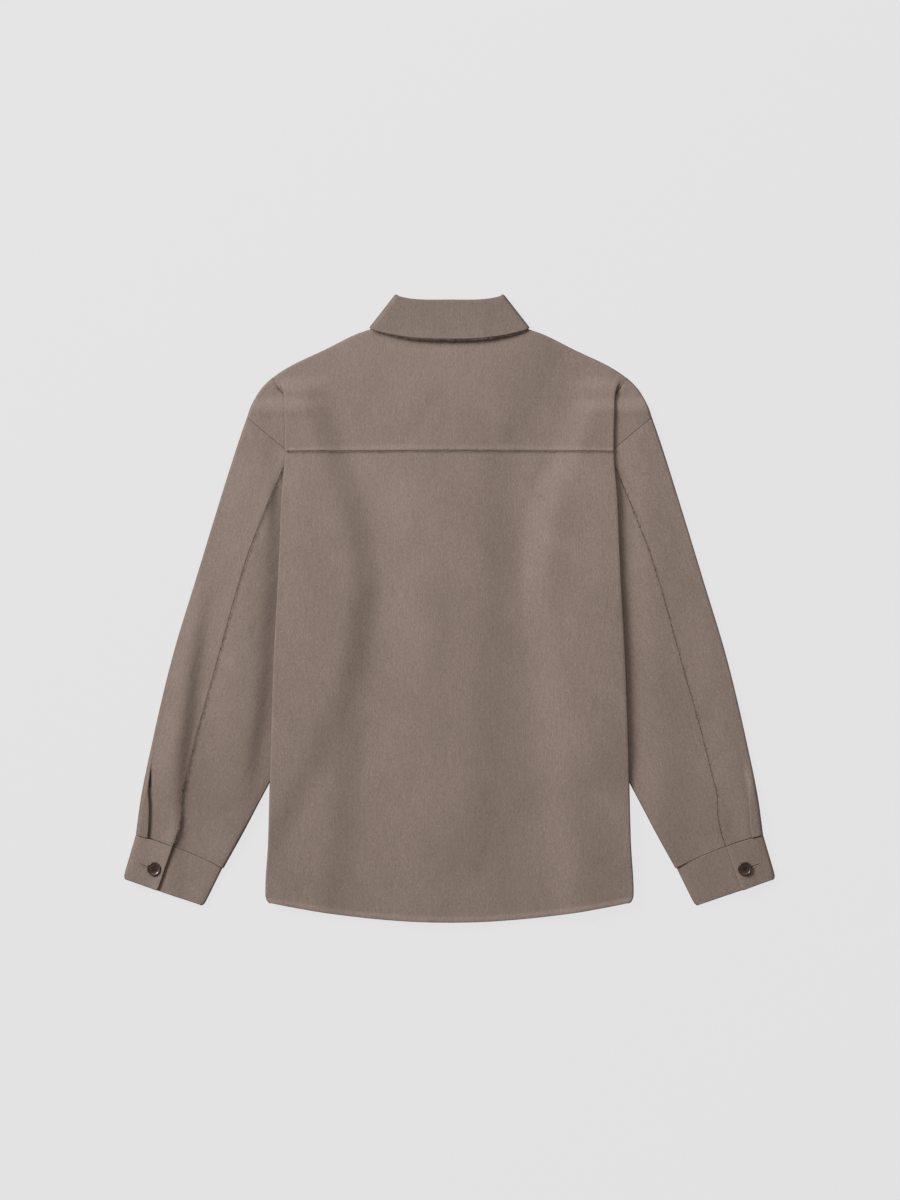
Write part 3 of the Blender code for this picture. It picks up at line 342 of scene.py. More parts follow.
def hiddenEdgeX(y, below):
    # Inboard end of the layers at the side: the pleat's foot, the armhole, then a lower table.
    if y > armholeFoot[1]:
        share = min(1.0, (y - armholeFoot[1]) / (pleats["back"]["closedY"] - armholeFoot[1]))
        return float(mix(armholeFoot, (bodyFoldAt(pleats["back"]["closedY"]), 0.0), share)[0])
    return along(armholeHidden if y > armpit[1] else below, "y", y)


def flapDistance(x, y):
    # Distance from a point to the area that the collar's front flaps raise, 0 inside it.
    x = abs(x)
    inside = True
    nearest = 1e9
    for (ax, ay), (bx, by) in zip(flapArea, flapArea[1:] + flapArea[:1]):
        sx, sy, px, py = bx - ax, by - ay, x - ax, y - ay
        if sx * py - sy * px > 0:
            inside = False
        share = min(1.0, max(0.0, (px * sx + py * sy) / (sx * sx + sy * sy)))
        nearest = min(nearest, math.hypot(px - share * sx, py - share * sy))
    return 0.0 if inside else nearest


liftReach = 175.0


def lift(x, y):
    # How far the collar's flaps and the row of front buttons raise the cloth above them.
    if abs(x) > liftReach:
        return 0.0
    flap = flapLift * climb("flap", flapDistance(x, y))
    row = climb("rowSide", abs(x)) * climb("rowTop", y) * climb("rowFoot", y)
    return max(flap, buttonLift * row)


def bandRise(x, y):
    # Second layer of the button band, as the back feels it.
    return layerStep * climb("bandSide", abs(x)) * climb("bandTop", y)


def underRise(x, y):
    # Rise over the fronts' turned-in strips.
    return pleatRise(pleats["front"], y) * climb("frontStrip", abs(x) - hiddenEdgeX(y, sideSeam))


def armRise(x, y):
    # Rise over the arm and the back's own turned-in strip.
    return pleatRise(pleats["back"], y) * climb("backStrip", abs(x) - hiddenEdgeX(y, armInner))


def onBody(name, x, y):
    # 1 over the body, 0 well past its side fold.
    return 1 - climb(name, abs(x) - bodyFoldAt(y))


def armLowZ(x, y):
    return floorLayer + lift(x, y) + pleatRise(pleats["front"], y) * onBody("armUnder", x, y)


def armTopZ(x, y):
    fuller = plump * (1 - onBody("armFull", x, y))
    front = pleatRise(pleats["front"], y) * onBody("armOver", x, y)
    return floorLayer + lift(x, y) + apart + fuller + front


def backZ(x, y):
    return floorLayer + apart + lift(x, y) + bandRise(x, y) + underRise(x, y) + armRise(x, y)


def frontZ(x, y):
    return floorLayer + lift(x, y)


def laid(spot, height):
    # A place in plan with the height that the cloth has there.
    return (spot[0], spot[1], height(spot[0], spot[1]))


def mirrored(grid):
    return [[(-x, y, z) for x, y, z in row] for row in grid]


def bothHalves(grids):
    return grids + [mirrored(grid) for grid in grids]


def bend(start, way, radius, sign):
    # Half turn in the upright plane through a plan direction. Sign -1 turns down, 1 turns up.
    points = []
    for k in range(1, turnSteps + 1):
        angle = math.pi * k / turnSteps
        points.append((start[0] + way[0] * radius * math.sin(angle),
                       start[1] + way[1] * radius * math.sin(angle),
                       start[2] + sign * radius * (1 - math.cos(angle))))
    return points


foldShares = (0.25, 0.5, 0.75, 1.0)


def zFold(angle, depth):
    # Section of a pleat as (distance, height): a bend, a straight part back, a bend the other way.
    radius = turnRadius(angle)
    path = []
    for k in range(1, turnSteps + 1):
        turned = angle * k / turnSteps
        path.append((radius * math.sin(turned), radius * (1 - math.cos(turned))))
    distance, height = path[-1]
    for share in foldShares:
        path.append((distance + depth * share * math.cos(angle), height + depth * share * math.sin(angle)))
    distance, height = path[-1]
    for k in range(1, turnSteps + 1):
        left = angle * (1 - k / turnSteps)
        path.append((distance + radius * (math.sin(angle) - math.sin(left)),
                     height + radius * (math.cos(left) - math.cos(angle))))
    return path


leastDepth = 0.5  # of the cloth turned under in a pleat
leastAngle = 0.06


def pleatPath(pleat, yFold, zStart, sign, zEnd):
    # The fold at the body's side, the strip turned in, and the fold that brings it out again.
    angle = max(leastAngle, turnAngle(pleat, yFold))
    axis = foldAxis(yFold, pleat["narrower"])
    foot = pleatFootAt(pleat, yFold)
    depth = max(leastDepth, axis - foot[0])
    section = zFold(angle, depth)
    scale = abs(zEnd - zStart) / section[-1][1]
    points = []
    for distance, height in section:
        inward = min(1.0, max(0.0, -distance / depth))
        y = yFold + (foot[1] - yFold) * inward
        if distance > 0:
            y -= (yokeTopY(axis) - yokeTopY(axis + distance)) * (1 - angle / math.pi)
        points.append((axis + distance, y, zStart + sign * height * scale))
    return points


# Shares across the pieces, closer together beside a fold or a seam
nearFold = (1.5, 3.5, 7.0)
sideShares = shares(140.0, (), 17, nearFold)[1:]
yokeSideShares = shares(130.0, (), 21, nearFold)[1:]
capShares = shares(60.0, (2.0, 4.5), 8, nearSeam)
capCorner = 0.55  # share of the cap's edge where its corner lies


def capPatch(lefts, rows, table, inset, firstShare, corner, last, height):
    # The cloth between the pleat's foot and the armhole, fitted inside its four edges.
    cornerShare = firstShare + (1 - firstShare) * capCorner

    def edge(share):
        return inset(trace(table, share), share)

    patch = []
    for left, v in zip(lefts, rows):
        right = mix(last, edge(cornerShare), v) if v in (0.0, 1.0) else edge(1 + (cornerShare - 1) * v)
        row = [tuple(left)]
        for u in capShares[1:]:
            bottom = mix(corner, last, u)
            top = edge(firstShare + (cornerShare - firstShare) * u)
            flat = mix(bottom, mix(lefts[-1][:2], edge(cornerShare), u), v)
            point = mix(bottom, top, v) + mix(left[:2], right, u) - flat
            if v == 1.0:
                point = top
            row.append(laid(point, height))
        patch.append(row)
    return patch


wayStep = 0.01
frontCapWay = (1.0, 1.3)  # off the yoke seam at the cap of a front


def outlineInset(point, share):
    ahead = trace(shoulder, min(1.0, share + wayStep))
    behind = trace(shoulder, max(0.0, share - wayStep))
    way = unit(ahead - behind)
    outward = np.array((-way[1], way[0]))
    radius = (armTopZ(*point) - armLowZ(*point)) / 2
    return np.asarray(point) - outward * (radius + clothThick / 2)


def frontInset(point, share):
    return np.asarray(point) - unit(frontCapWay) * seamDrop


shoulderSlope = (0.474, 0.246)  # near the neck, and how much steeper past its turn
shoulderDrop = 0.4


def yokeTopY(x):
    # Top of the yoke's mid surface as laid: neck edge, then just inside the shoulder fold.
    if x <= neckX + 0.01:
        return neckBackAt(x)
    inset = apart / 2 + clothThick / 2
    slope = shoulderSlope[0] + shoulderSlope[1] * climb("shoulderTurn", x)
    return along(shoulder, "x", x) - inset * math.hypot(1, slope) - shoulderDrop * climb("shoulderEnd", x)


yokeDeep = 118.0
yokeTopFoldY = 302.8  # fold row that meets the yoke's top edge
yokeRows = shares(yokeDeep, nearSeam, 22, (2.0, 4.5))


def backYoke():
    pleat = pleats["back"]
    mains, lefts, paths = [], [], []
    for v in yokeRows:
        yFold = yokeSeamY + (yokeTopFoldY - yokeSeamY) * v
        axis = foldAxis(yFold)
        row = []
        off = yFold - yokeSeamAt(axis) * (1 - v) - yokeTopY(axis) * v
        for x in neckStops + [neckX + (axis - neckX) * share for share in yokeSideShares]:
            y = yokeSeamAt(x) * (1 - v) + yokeTopY(x) * v
            y += off * (max(0.0, x - neckX) / (axis - neckX)) ** 2
            row.append((x, y, backZ(x, y) + raised("yokeEdge", v * yokeDeep)))
        zCap = armTopZ(axis, yFold)
        path = pleatPath(pleat, yFold, row[-1][2], -1, zCap)
        mains.append(row)
        paths.append([row[-1]] + path)
        lefts.append(path[-1])
    edgeLines["back_yoke"] = [(-x, y, z) for x, y, z in reversed(mains[0][1:])] + mains[0]
    firstShare = shareAtX(shoulder, lefts[-1][0])
    last = sleeveHead - armholeWay * (apart / 2 + plump / 2 + clothThick / 2 + 0.4)
    cap = capPatch(lefts, yokeRows, shoulder, outlineInset, firstShare, np.array(pleatFoot), last, armTopZ)
    start = len(neckStops) - 1
    edge = mains[-1][start:] + paths[-1][1:] + cap[-1][1:] + [row[-1] for row in reversed(cap[:-1])]
    return shell("back_yoke", bothHalves([mains, paths, cap, yokeWrap(edge)]), clothThick)


wrapShares = (0.2, 0.4, 0.6, 0.8, 0.95, 1.0)


def yokeWrap(edge):
    # Over the shoulder and down the front to the seam with the fronts.
    plan = [np.array(point[:2]) for point in edge]
    lengths = np.concatenate(([0.0], np.cumsum([np.linalg.norm(b - a) for a, b in zip(plan, plan[1:])])))
    columns = []
    for j, point in enumerate(edge):
        ahead = plan[min(j + 1, len(plan) - 1)]
        behind = plan[max(j - 1, 0)]
        way = unit(ahead - behind)
        outward = np.array((-way[1], way[0]))
        if j == len(edge) - 1:
            outward = armholeWay
        goal = trace(yokeFront, lengths[j] / lengths[-1])
        zLow = armLowZ(point[0], point[1])
        turn = bend(point, outward, (point[2] - zLow) / 2, -1)
        flat = [laid(mix(plan[j], goal, share), armLowZ) for share in wrapShares]
        columns.append([point] + turn + flat)
    return [list(row) for row in zip(*columns)]


hemTuck = 9.0  # the strip's hem lies this much above the fold's


def stripFoot(yFold, topY):
    # Where a turned-in strip ends: at the armhole, then at the side seam.
    if yFold > armpit[1]:
        y = armpit[1] + (yFold - armpit[1]) * (pleatFoot[1] - armpit[1]) / (topY - armpit[1])
        near = climb("armpit", yFold - armpit[1])
        x = along(armholeHidden, "y", min(y, armholeFoot[1])) + (pleatFoot[0] - armholeFoot[0]) * near
        return np.array((x, y))
    return np.array((along(sideSeam, "y", yFold), yFold + hemTuck * climb("hemTuck", yFold)))


panelDeep = 586.0
panelRows = shares(panelDeep, nearSeam, 92, nearHem)
panelShares = shares(170.0, (), 27)[:-1]
stripShares = shares(45.0, (), 6, (1.5, 3.5))


def backPanel():
    hemFoldY = bodyFold["y"][-1]
    top = yokeSeamY - seamDrop
    grid = []
    for v in panelRows:
        yFold = top * (1 - v) + hemFoldY * v
        axis = foldAxis(yFold)
        foot = stripFoot(yFold, top)
        if v == 0:
            foot = np.array(pleatFoot) - (0.0, seamDrop)
        row = []

        def level(x):
            return (yokeSeamAt(x) - seamDrop) * (1 - v) + hemAt(min(x, axis)) * v

        foldShift = yFold - level(axis)
        for x in [share * foot[0] for share in panelShares]:
            row.append(laid((x, level(x)), backZ))
        for share in stripShares:
            x = foot[0] + (axis - foot[0]) * share
            row.append(laid((x, level(x) + foldShift * share), backZ))
        row += bend(row[-1], (1, 0), layerStep / 2, -1)
        own = max(climb("stripTop", yFold), climb("stripHem", yFold))
        footShift = (foot[1] - level(foot[0])) * own
        for share in stripShares[1:]:
            x = axis + (foot[0] - axis) * share
            y = level(x) + foldShift * (1 - share) + footShift * share
            row.append((x, y, backZ(x, y) - layerStep))
        grid.append([(x, y, z + raised("hemBand", (1 - v) * panelDeep)) for x, y, z in row])
    return shell("back_panel", bothHalves([grid]), clothThick)


frontRows = shares(590.0, (1.2, 2.4, 4.0, 6.0, 9.0), 60)[:-1]
frontUpperRows = shares(78.0, (), 12)
frontNear = [-20.0, -18.8, -16.0, -12.0, -6.0, 0.0, 6.0, 12.0, 18.0, 22.0, 28.0, 35.0, 42.5, 51.0, 60.0, 67.0,
             73.6, 81.4]  # across a front from its edge to the neck point


def frontPanel(name, over):
    # One front with its band. The one that lies over has its band against the surface.
    hemFoldY = bodyFold["y"][-1] + frontShorter
    pleat = pleats["front"]
    neck = frontNear[-1]
    topFoldY = pleat["tipY"] - 1.5

    def height(x, y):
        under = 0.0 if over else layerStep * (1 - climb("bandEdge", x - band))
        return frontZ(x, y) + under

    lower, upper, lefts = [], [], []
    for v in frontRows + [1.0]:
        yFold = hemFoldY + (frontLevelY - hemFoldY) * v
        axis = foldAxis(yFold, frontNarrower)
        foot = stripFoot(yFold, frontLevelY)
        if v == 1:
            foot = np.array(pleatFoot)
        row = []
        for x in frontNear + [neck + (axis - neck) * share for share in sideShares]:
            row.append(laid((x, (hemAt(x) + frontShorter) * (1 - v) + frontLevelY * v), height))
        row[-1] = (axis, yFold, row[-1][2])
        if v == 1:
            row += pleatPath(pleat, yFold, row[-1][2], 1, armLowZ(axis, yFold))
            lower.append(row[:len(lower[-1])])
            break
        row += bend(row[-1], (1, 0), layerStep / 2, 1)
        start = row[-1]
        for share in stripShares[1:]:
            spot = mix(start[:2], foot, share)
            row.append((spot[0], spot[1], start[2]))
        lower.append(row)
    for v in frontUpperRows:
        yFold = frontLevelY + (topFoldY - frontLevelY) * v
        axis = foldAxis(yFold, frontNarrower)
        row = []
        for x in frontNear + [neck + (axis - neck) * share for share in sideShares]:
            top = neckFrontAt(x) if x <= neck + 0.01 else along(yokeFront, "x", x) - seamDrop
            row.append(laid((x, frontLevelY * (1 - v) + top * v), height))
        row[-1] = (axis, yFold, row[-1][2])
        row += pleatPath(pleat, yFold, row[-1][2], 1, armLowZ(axis, yFold))
        upper.append(row)
        lefts.append(row[-1])
    last = np.array((yokeFront["x"][-1], yokeFront["y"][-1])) - armholeWay * seamDrop
    firstShare = shareAtX(yokeFront, lefts[-1][0])
    cap = capPatch(lefts, frontUpperRows, yokeFront, frontInset, firstShare, np.array(pleatFoot), last,
                   armLowZ)
    grids = [lower, upper, cap]
    if over:
        grids = [mirrored(grid) for grid in grids]
    return shell(name, grids, clothThick)


sleeveRows = shares(566.0, nearSeam, 88, nearSeam)
lowShares = shares(150.0, (), 20)[1:]
topShares = shares(90.0, (), 13, nearSeam)[1:]


def down(table, v):
    # Point of one of the arm's tables at a share of the way down.
    y = table["y"][0] * (1 - v) + table["y"][-1] * v
    return np.array((along(table, "y", y), y))


def sleeve(name, side):
    # An open tube from one edge of the back seam round to the other.
    grid = []
    for v in sleeveRows:
        outer, inner, seam = (down(table, v) for table in (armOuter, armInner, armSeam))
        if v == 0:
            outer, seam = outer + armholeDown * seamGap, seam + armholeDown * seamGap
        if v == 1:
            shift = unit(np.array(cuffBottomOut) - outer) * seamGap
            outer, inner, seam = outer - shift, inner - shift, seam - shift
        grid.append(sleeveRow(outer, inner, seam, v, side))
    if side < 0:
        grid = mirrored(grid)
    edgeLines[name] = [row[0] for row in grid]
    return shell(name, [grid], clothThick)


def armholeBulge(share, first, straight):
    # How far the armhole stands off the straight line from its first point to the armpit.
    points = np.column_stack((armholeHidden["x"], armholeHidden["y"]))
    lengths = lengthsOf(armholeHidden)
    goal = (straight + lengths[-1]) * share
    if goal <= straight:
        spot = mix(first, armholeFoot, goal / straight)
    else:
        reach = goal - straight
        spot = np.array((np.interp(reach, lengths, points[:, 0]), np.interp(reach, lengths, points[:, 1])))
    return spot - mix(first, armpit, share)


def cuffSagAt(spot, outer, inner):
    # The seam at the cuff hangs a little below a straight line.
    line = inner - outer
    share = min(1.0, max(0.0, float((spot - outer) @ line) / float(line @ line)))
    return 4 * share * (1 - share) * cuffSag * unit((line[1], -line[0]))


def sagged(row, amount, outer, inner):
    shifts = [amount * cuffSagAt(np.array(point[:2]), outer, inner) for point in row]
    return [(point[0] + shift[0], point[1] + shift[1], point[2]) for point, shift in zip(row, shifts)]


def seamPucker(v):
    # The seam stands highest near the armhole and above the cuff, and is drawn up unevenly.
    uneven = sum(size * math.sin(v * waves + start) for size, waves, start in puckers)
    least, foot, top = sleeveMake["pucker"]
    return (least + foot * climb("puckerFoot", v) + top * (1 - climb("puckerTop", v))) * (1 + uneven)


# The seam's height along the middle, added at the cuff and added at the armhole; how fast the
# armhole's curve fades down the sleeve; the pleat's run and its least room to the outer edge
sleeveMake = {"pucker": (0.25, 0.8, 0.85), "fade": 2.2, "pleatRun": 105.0, "room": 1.0}


def sleeveRow(outer, inner, seam, v, side):
    # One row of the tube: from the seam over the top with the pleat, round under and back.
    pleat = sleevePleats[side]
    stand = seamPucker(v) * seamStands[side]
    placket = (doubleThick + gap) * climb("placket", v)
    way = unit(outer - seam)
    rise = pleatRise(pleat, outer[1])
    radius = (armTopZ(outer[0], outer[1]) + rise - armLowZ(outer[0], outer[1])) / 2
    edge = outer - way * (radius + clothThick / 2)
    width = float(np.linalg.norm(edge - seam))
    angle = max(leastAngle, turnAngle(pleat, outer[1]))
    depth = leastDepth + (sleevePleatDepth - leastDepth) * climb("pleatDepth", outer[1])
    part = smooth((pleat["tipY"] - outer[1]) / sleeveMake["pleatRun"])
    pleatIn = pleat["topIn"] + (pleat["footIn"] - pleat["topIn"]) * part
    pleatAt = width - pleatIn + radius + clothThick / 2 + depth

    def top(distance, extra=0.0):
        x, y, z = laid(mix(seam, edge, distance / width), armTopZ)
        z += placket * (1 - climb("placketSide", distance)) + raised("sleeveSeam", distance) * stand
        return (x, y, z + extra)

    row = [top(distance) for distance in stops(pleatAt, nearSeam, 7)]
    section = zFold(angle, depth)
    scale = max(rise, 0.01) / section[-1][1]
    room = width - pleatAt - sleeveMake["room"]
    squeeze = max(0.05, min(1.0, room / max(distance for distance, height in section)))
    row += [top(pleatAt + distance * squeeze, height * scale) for distance, height in section]
    reached = pleatAt + section[-1][0] * squeeze
    row += [top(reached + (width - reached) * k / 5, rise) for k in range(1, 6)]
    row += bend(row[-1], way, radius, -1)
    innerWay = unit(inner - outer)
    start = np.array(row[-1][:2])
    finish = inner - innerWay * (apart / 2 + clothThick / 2) if v > 0 else inner
    fade = (1 - v) ** sleeveMake["fade"]
    straight = float(np.linalg.norm(sleeveHead - armholeFoot))
    for share in lowShares:
        spot = mix(start, finish, share) + fade * armholeBulge(share, sleeveHead, straight)
        row.append(laid(spot, armLowZ))
    lowEnd = row[-1]
    row += bend(lowEnd, innerWay, (armTopZ(lowEnd[0], lowEnd[1]) - lowEnd[2]) / 2, 1)
    start = np.array(row[-1][:2])
    finish = seam - way * seamGap
    straight = float(np.linalg.norm(armSeamHead - armholeFoot))
    for share in topShares:
        spot = mix(start, finish, share) + fade * armholeBulge(1 - share, armSeamHead, straight)
        row.append(laid(spot, armTopZ))
    return sagged(row, climb("sag", v), outer, inner)


# How far the overlap stands up on each side and where it starts. Each corner has the share of the
# cuff's depth where its rounding starts, and its size.
cuffMake = {"lift": {-1: 1.2, 1: 1.7}, "start": 0.42, "lapCorner": (0.9, 2.2), "corner": (0.88, 2.6)}
cuffLayer = doubleThick + gap
cuffLow = doubleThick / 2
cuffHigh = cuffLow + cuffLayer + 2 * cuffSpring
nearCuffEdge = (1.3, 2.6, 4.2)
lapWidth = 40.0
cuffRows = shares(54.0, nearCuffEdge, 8, nearCuffEdge)
lapShares = shares(lapWidth, nearCuffEdge, 6)
underShares = shares(80.0, (), 12, (1.3, 2.6))[1:]


def lapRise(distance, side):
    # The left cuff's overlap is up at its edge, the right one's is rolled: up just inside it.
    if side < 0:
        return cuffMake["lift"][side] * (1 - climb("lapFlat", distance))
    return cuffMake["lift"][side] * climb("lapOut", distance) * (1 - climb("lapIn", distance))


def rounded(corner, v):
    # Rounding of a corner near the cuff's lower edge.
    start, size = cuffMake[corner]
    return size * max(0.0, (v - start) / (1 - start)) ** 2


def cuff(name, side):
    topOut = np.array((armOuter["x"][-1], armOuter["y"][-1]))
    topIn = np.array((armInner["x"][-1], armInner["y"][-1]))
    topMid = mix(topOut, topIn, cuffMake["start"])
    inRadius = (cuffHigh - cuffLow) / 2
    outRadius = (cuffHigh + cuffLayer - cuffLow) / 2
    grid = []
    for v in cuffRows:
        rounding = rounded("corner", v)
        outer = mix(topOut, cuffBottomOut, v)
        inner = mix(topIn, cuffBottomIn, v)
        way = unit(outer - inner)
        edge = mix(topMid, placketFoot, v) + way * rounded("lapCorner", v)
        outSpot = outer - way * (outRadius + doubleThick / 2 + rounding)
        inSpot = inner + way * (inRadius + doubleThick / 2 + rounding)
        row = []
        for share in lapShares:
            spot = mix(edge, outSpot, share)
            row.append((spot[0], spot[1], cuffHigh + cuffLayer + lapRise(share * lapWidth, side)))
        row += bend(row[-1], way, outRadius, -1)
        row += [(*mix(outSpot, inSpot, k / 14), cuffLow) for k in range(1, 15)]
        row += bend(row[-1], -way, inRadius, 1)
        lap = edge + way * cuffUnderlap
        row += [(*mix(inSpot, lap, share), cuffHigh) for share in underShares]
        grid.append(sagged(row, 1 - v, outer, inner))
    if side < 0:
        grid = mirrored(grid)
    return shell(name, [grid], doubleThick)


frontStations = 16
sideStations = 9


def collarStations():
    # Round the neck from the centre front, over the side fold and along the back, for the half
    # with x above 0. Each has points on the roll, the leaf's edge and the neck seam.
    sideWay = unit(np.array(leafCorner) - np.array(leafSide))
    outward = np.array((sideWay[1], -sideWay[0]))
    stations = []
    for k in range(frontStations):
        share = k / (frontStations - 1)
        x = float(np.interp(share * (len(neckFrontStops) - 1), range(len(neckFrontStops)), neckFrontStops))
        stations.append({"roll": mix(leafFront, leafCorner, share), "edge": mix(leafPoint, leafSide, share),
                         "neck": np.array((x, neckFrontAt(x))), "turn": 0.0, "inset": share**2})
    for k in range(1, sideStations + 1):
        stations.append({"roll": np.array(leafCorner), "edge": np.array(leafSide),
                         "neck": np.array(standSide), "turn": math.pi * k / (sideStations + 1),
                         "inset": 1.0})
    for x in reversed(neckStops):
        share = x / neckX
        roll = (leafCorner[0] * share, rollY + (leafCorner[1] - rollY) * share**3.2)
        edge = (leafSide[0] * share, leafEdgeY + (leafSide[1] - leafEdgeY) * share**2.3)
        stations.append({"roll": np.array(roll), "edge": np.array(edge),
                         "neck": np.array((x, neckBackAt(x))), "turn": math.pi, "inset": share**2})
    stations[frontStations - 1]["neck"] = np.array(standFrontSide)
    stations[-len(neckStops)]["neck"] = np.array(standBackSide)
    for station in stations:
        station["outward"] = outward
    return stations


def around(station, plan, radius):
    # A point at a distance from the middle of the collar's stack. The side fold stands inside
    # the outline by the leaf's own bend, and the stations beside it share that.
    middle = np.asarray(plan) - station["outward"] * (leafR + doubleThick / 2) * station["inset"]
    spot = middle + station["outward"] * radius * math.sin(station["turn"])
    return (spot[0], spot[1], stackMid - radius * math.cos(station["turn"]))


# The leaf's lower edge stands off the yoke by "lift" at the centre back. "turn" is the strip past
# the roll, inside it.
leafMake = {"lift": 4.2, "turn": 3.0}
leafShares = shares(52.0, (), 10, nearCuffEdge)[1:]


def collarLeaf():
    bendR = (leafR - standR) / 2
    columns = []
    for station in collarStations():
        up = unit(station["roll"] - station["edge"])
        start = station["roll"] - up * (bendR + doubleThick / 2)
        column = [around(station, start - up * leafMake["turn"], standR)]
        for k in range(leafSteps + 1):
            angle = math.pi * k / leafSteps
            column.append(around(station, start + up * bendR * math.sin(angle),
                                 standR + bendR * (1 - math.cos(angle))))
        sideways = abs(station["edge"][0]) / leafSide[0]
        rise = leafMake["lift"] * climb("leafBack", station["turn"] / math.pi) * (1 - sideways**2.5)
        for share in leafShares:
            x, y, z = around(station, mix(start, station["edge"], share), leafR)
            column.append((x, y, z + share**2 * rise))
        columns.append(column)
    back = [column[-1] for column in columns[-len(neckStops):]]
    edgeLines["collar_leaf"] = back + [(-x, y, z) for x, y, z in reversed(back[:-1])]
    return shell("collar_leaf", bothHalves([columns]), doubleThick)


standShares = (0.0, 0.5, 1.0)
standEnds = (band - 2.0, band - 8.0)  # its front ends, past the centre


def collarStand():
    bendR = (leafR - standR) / 2
    half = []
    for station in collarStations():
        up = unit(station["roll"] - station["edge"])
        top = station["roll"] - up * (bendR + doubleThick / 2 + leafMake["turn"] + gap)
        neck = station["neck"] + unit(station["roll"] - station["neck"]) * (gap + 0.1)
        neck = neck + station["outward"] * (leafR + doubleThick / 2) * station["inset"]
        column = []
        for share in standShares:
            point = around(station, mix(neck, top, share), standR)
            extra = lift(point[0], point[1]) - flapLift if station["turn"] == 0 else 0.0
            column.append((point[0], point[1], point[2] + max(0.0, extra)))
        half.append(column)
    ends = [[(-reach, point[1] + (neckFrontAt(reach) - neckFrontY) * (1 - share) - 1.2 * share, point[2])
             for point, share in zip(half[0], standShares)] for reach in standEnds]
    plain = ends + half
    front = len(ends) + frontStations  # only these lie on the button band
    over = [[(x, y, z + layerStep * (1 - climb("standBand", x - band)) * climb("bandTop", y))
             for x, y, z in column] for column in plain[:front]]
    return shell("collar_stand", [over + plain[front:], mirrored(plain)], clothThick)


# Soft folds of the laid cloth. Each has stations down it as (x, y, height), then how far it
# reaches towards -x and towards +x: the short side is the steep one.
folds = (
    # down the back, faint
    (((-128, 190, 0), (-131, 100, 0.45), (-134, 10, 0.35), (-138, -90, 0)), 26, 30),
    (((-140, -40, 0), (-145, -130, 0.4), (-152, -330, 0)), 34, 28),
    (((-44, 190, 0), (-38, 120, 0.45), (-34, 0, 0)), 30, 34),
    (((-60, 20, 0), (-72, -120, 0.35), (-84, -290, 0)), 34, 38),
    (((46, 196, 0), (50, 90, 0.4), (58, -50, 0)), 28, 26),
    (((36, -60, 0), (30, -190, 0.4), (22, -350, 0)), 34, 30),
    (((132, 186, 0), (130, 90, 0.45), (126, -40, 0)), 30, 34),
    (((150, -20, 0), (128, -160, 0.4), (112, -310, 0)), 38, 32),
    # along the body's own side folds
    (((-186, 200, 0), (-196, 150, 1.5), (-199, 40, 1.1), (-205, -90, 0.5), (-212, -240, 0)), 15, 30),
    (((209, 206, 0), (213, 150, 4.2), (218, 60, 4.3), (224, -70, 4.5), (228, -170, 4.3), (231, -238, 0)),
     62, 8),
    (((172, 150, 0), (170, -60, 1.0), (168, -220, 3.4), (168, -330, 3.8), (168, -420, 1.8)), 46, 43),
    # across the yoke
    (((-92, 326, 0), (-122, 282, 0.3), (-152, 226, 0)), 34, 38),
    (((100, 330, 0), (130, 284, 0.3), (164, 230, 0)), 36, 40),
    # left sleeve: beside the body, and outside the seam down to the cuff's pleat
    (((-234, 204, 0), (-236, 130, 6.0), (-238, 47, 7.6), (-243, -30, 6.8), (-247, -89, 7.8),
      (-253, -140, 7.4), (-261, -190, 5.0), (-272, -262, 0)), 72, 10.5),
    (((-320, 44, 0), (-331, -30, 6.0), (-340, -89, 8.2), (-346, -140, 9.0), (-353, -190, 8.4),
      (-358, -240, 6.4), (-360, -288, 3.0)), 22, 11),
    (((-300, 60, 0), (-306, -20, 0.8), (-318, -110, 0)), 16, 20),
    # right sleeve: the same places, much flatter
    (((246, 190, 0), (256, 90, 1.0), (268, -40, 1.1), (280, -150, 0.8), (288, -240, 0)), 16, 60),
    (((292, 180, 0), (300, 90, 0.6), (306, -10, 0)), 26, 22),
    (((336, 20, 0), (346, -80, 0.9), (358, -180, 0.7), (362, -240, 0)), 22, 26),
    (((370, -176, 0), (372, -215, 1.1), (378, -240, 1.5), (383, -262, 1.6), (388, -292, 1.3)), 18, 9))
# Faint unevenness all over: its height, then a broad and a fine wave, each with its share, its
# lengths across and down, and how far and over what length it winds
ripple = {
    "high": 0.35,
    "broad": {"share": 0.6, "x": 57.0, "y": 140.0, "windX": (1.3, 83.0), "windY": (0.7, 61.0)},
    "fine": {"share": 0.4, "x": 31.0, "y": 96.0, "windX": (0.8, 47.0), "start": 2.0, "lean": 210.0}}
foldStep = 2.0


def foldLine(stations):
    # A fold's middle and its height at even steps of y, lowest y first.
    x, y, high = zip(*stations)
    steps = np.arange(y[-1], y[0], foldStep)
    lean = math.hypot(x[-1] - x[0], y[-1] - y[0]) / (y[0] - y[-1])
    return steps, [curveAt(y, x, step) for step in steps], [curveAt(y, high, step) for step in steps], lean


foldLines = [(foldLine(stations), west, east) for stations, west, east in folds]


def wind(values, place):
    return values[0] * np.sin(place / values[1])


